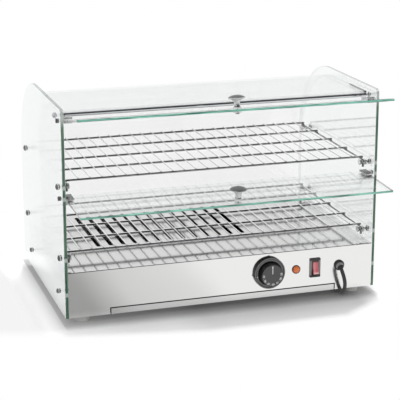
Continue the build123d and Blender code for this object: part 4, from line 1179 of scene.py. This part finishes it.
# Rows of the nose that keep the plastic's black; the other rows are painted light grey as a painted
# highlight
gland_dark_rows = (0, 1, 3, 7, 10, 11, 12, 13, 14)


class CASE_OT_gland(bpy.types.Operator):
    """Mould the cord gland with its drooping, ribbed nose."""

    bl_idname = "case.gland"
    bl_label = "Cord gland"

    def execute(self, context):
        sides = 40
        thick, thin, bore, bore_depth, flange = 7.9, 5.9, 3.8, 0.2, 0.003
        droop = math.radians(33)
        shape = Shape().turn(gland_flange, on_panel(gland_x), sides=48, part=1)
        down = (0, -math.cos(droop), -math.sin(droop))
        mouth = facing((gland_x, *cord_route[0][1:]), down)
        foot = on_panel(gland_x, y=panel_y - flange)
        rings = []
        for share, bulge in gland_ribs:
            starts = ring_of(foot, [thick * bulge] * sides)
            ends = ring_of(mouth, [thin * bulge] * sides)
            rings.append([start.lerp(end, share) for start, end in zip(starts, ends)])
        rings.append(ring_of(mouth, [bore] * sides, -bore_depth))
        first_face = len(shape.faces)
        shape.bridge(rings)
        for row in gland_dark_rows:
            first = first_face + row * sides
            shape.parts[first:first + sides] = [1] * sides
        shape.parts[-1] = 1
        looks = ("gland_grey", "groove_black")
        shape.piece("gland_nose", "case", "black_plastic", looks, "cord_gland", smooth=35)
        return {"FINISHED"}


# Finishes of the nodes that stay as they are, where their slot's own isn't used

own_finish = {
    "switch_housing": "switch_grey",
    "crumb_tray": "tray_steel",
    "terminal_block": "ceramic",
}
for flap in ("upper", "lower"):
    own_finish[f"{flap}_flap_clamps"] = "clamp_chrome"
    own_finish[f"{flap}_pin_caps"] = "head_steel"
    own_finish[f"{flap}_knob_screw"] = "knob_chrome"
    own_finish[f"{flap}_knob_washers"] = "clear_nylon"


class CASE_OT_bare_nodes(bpy.types.Operator):
    """Give every node that is shown as it is its finish."""

    bl_idname = "case.bare_nodes"
    bl_label = "Finishes of the solids"

    def execute(self, context):
        for part in frame["record"]["subparts"]:
            node = frame["nodes"][part["node"]]
            look = finishes[own_finish.get(part["node"], part["material_slot"])]
            if not node.material_slots:
                node.data.materials.append(None)
            for holder in node.material_slots:
                holder.link = "OBJECT"
                holder.material = look
        return {"FINISHED"}


# Stage

def seen_rays(start):
    """1 for what the camera, metal and glass see, and 0 for light that falls on a surface."""
    kinds = ("Is Camera Ray", "Is Glossy Ray", "Is Transmission Ray")
    camera, glossy, through = (start.node("ShaderNodeLightPath", output=kind) for kind in kinds)
    return start.maths("MINIMUM", camera + glossy + through, 1.0)


@finish
def paper(point):
    """Pale paper with the case's soft shadow around its foot, deepened by painted shade and shaped
    by a painted glow, a painted shadow beside the left pane, and plain white farther out.
    """
    outline_half = 0.297
    across, along = axis(point, "X"), axis(point, "Y")
    mirrored = point.node("ShaderNodeLightPath", output="Is Glossy Ray")

    # How far the point is from the case's outline, in metres
    past_side = higher(abs(across) - outline_half, 0.0)
    past_end = abs(along - (front_y + back_y) / 2) - (back_y - front_y) / 2
    past_end = higher(past_end, 0.0)
    apart = point.maths("SQRT", past_side * past_side + past_end * past_end)

    # Where the paper is plain white: beyond a strip that is narrower at both sides, and closer in
    # for what mirrors see, as painted light that keeps the shadow out of their reflections
    slant = higher((across + 0.06) * -0.2, higher((across - 0.2) * 0.7, 0.0))
    in_mirror = ramp(apart, (0.0, 0.3), (0.06, 1.0)) * mirrored
    far = higher(fade(apart + slant, 0.088, 0.112), in_mirror)

    # The strip near the case: its colour is darkened there as painted shade, and a painted glow
    # raises it away from the case; both are paler towards both ends of its front
    from_left = across + 0.30
    ends = ramp(
        from_left * 1.6667,
        (0.0, 0.8), (0.06, 0.68), (0.18, 0.40), (0.32, 0.32), (0.42, 0.0), (0.92, 0.0), (1.0, 1.0),
    )
    painted_glow_share = fade(apart, 0.01, 0.09) * 0.2 + ramp(past_side, (0.002, 0.0), (0.03, 0.26))
    painted_glow_share = painted_glow_share + ends * ramp(apart, (0.006, 0.10), (0.028, 0.26))
    grey = grain(point, 300.0) * 0.2
    grey = grey + ramp(apart + past_side * 8.0, (0.0, 0.0), (0.035, 0.8)) + ends * 0.3
    plain = point.node("ShaderNodeBsdfDiffuse", inputs={"Color": tinted(grey, 0.34, 0.84)})

    # A painted shadow: a greyer field beside the left pane, up to a slanting line
    painted_shadow_field = fade((across + 0.31) * -30.0, 0.0, 1.0) * fade((0.24 - along) * 10.0, 0.0, 1.0)
    painted_shadow_field = painted_shadow_field * fade((along + across * 0.333 + 0.30) * 25.0, 0.0, 1.0)
    painted_glow = emission(seen_rays(point) * (painted_glow_share - painted_shadow_field * 0.3))
    near = point.node("ShaderNodeAddShader", inputs={0: plain, 1: painted_glow})

    # A painted reflection: what the panel mirrors of the paper in front of it is darker to the left
    left = ramp(from_left * 2.5, (0.18, 0.62), (0.38, 0.27), (0.70, 0.16), (0.85, 0.0))
    ahead = fade((-0.12 - along) * 10.0, 0.0, 0.2)
    white = seen_rays(point) * (0.2 - painted_shadow_field * 0.095) + 0.8 - left * ahead * mirrored
    return layered(far, near, emission(white))


@finish
def board_glow(point):
    """Nearly black, with faint clouds."""
    return emission(0.02 + grain(point, 0.6) * 0.08)


def add_staged(name, shape, look, smooth=38):
    """Add a shape that isn't a part of the case."""
    piece = add_object(name, shape.mesh(name, look, smooth=smooth))
    return piece


def add_light(name, spot, target, side, power):
    """A square soft light that looks at a target."""
    data = bpy.data.lights.new(name, "AREA")
    data.shape = "RECTANGLE"
    data.size = data.size_y = side
    data.energy = power
    lamp = add_object(name, data)
    lamp.location = spot
    aim(lamp, Vector(target) - Vector(spot))
    return lamp


class CASE_OT_stage(bpy.types.Operator):
    """Set the pale floor, the white surround, the soft lights and the dark board that metal
    reflects."""

    bl_idname = "case.stage"
    bl_label = "Floor and lights"

    def execute(self, context):
        context.scene.view_settings.view_transform = "Standard"
        paper("floor")
        wide = 3
        corners = [(-wide, -wide, 0), (wide, -wide, 0), (wide, wide, 0), (-wide, wide, 0)]
        add_staged("floor", Shape().add(corners, [[0, 1, 2, 3]]), "floor", smooth=0)

        world = bpy.data.worlds.new("surround")
        context.scene.world = world
        start = emptied(world)
        inputs = {"Color": (1, 1, 1, 1), "Strength": 0.6 + seen_rays(start) * 0.4}
        sky = start.node("ShaderNodeBackground", inputs=inputs)
        start.node("ShaderNodeOutputWorld", inputs={"Surface": sky})

        # The board is a part of a sphere in front of the case, which only mirrors show
        board_glow("board")
        radius = 3.4
        rings = []
        for rise in range(6, 79, 9):
            reach, level = around(rise, radius)
            rings.append([(*around(turn, reach), level) for turn in range(190, 351, 10)])
        shape = Shape().bridge(rings, caps=False, closed=False)
        board = add_staged("dark_board", shape, "board")
        for ray in ("camera", "diffuse", "transmission", "shadow"):
            setattr(board, f"visible_{ray}", False)

        key = add_light("key", spot=(0.50, 1.87, 1.74), target=(0, 0, 0.1), side=0.6, power=48)
        key.visible_glossy = False
        add_light("fill", spot=(-1.6, -1.6, 1.5), target=(0, 0, 0.15), side=1.2, power=12)
        return {"FINISHED"}


step_names = (
    "camera", "cord", "side_panes", "bent_sheet", "flaps", "shelves", "fittings", "thermostat",
    "lamp", "gland", "bare_nodes", "stage",
)


class CASE_PT_panel(bpy.types.Panel):
    """The case's steps, sizes and colours."""

    bl_idname = "CASE_PT_panel"
    bl_label = "Display case"
    bl_space_type = "VIEW_3D"
    bl_region_type = "UI"
    bl_category = "Display case"

    def draw(self, context):
        for step in step_names:
            self.layout.operator(f"case.{step}")
        for group in (context.scene.case_sizes, context.scene.case_colours):
            box = self.layout.box()
            for name in group.__annotations__:
                box.prop(group, name)


classes = (
    CaseSizes, CaseColours, CASE_OT_camera, CASE_OT_cord, CASE_OT_side_panes, CASE_OT_bent_sheet,
    CASE_OT_flaps, CASE_OT_shelves, CASE_OT_fittings, CASE_OT_thermostat, CASE_OT_lamp,
    CASE_OT_gland, CASE_OT_bare_nodes, CASE_OT_stage, CASE_PT_panel,
)


def register():
    for made in classes:
        bpy.utils.register_class(made)
    bpy.types.Scene.case_sizes = PointerProperty(type=CaseSizes)
    bpy.types.Scene.case_colours = PointerProperty(type=CaseColours)


def unregister():
    del bpy.types.Scene.case_colours
    del bpy.types.Scene.case_sizes
    for made in reversed(classes):
        bpy.utils.unregister_class(made)


def main():
    """Make every piece."""
    register()
    make_finishes(bpy.context.scene.case_colours)
    for step in step_names:
        getattr(bpy.ops.case, step)()


if __name__ == "__main__":
    main()
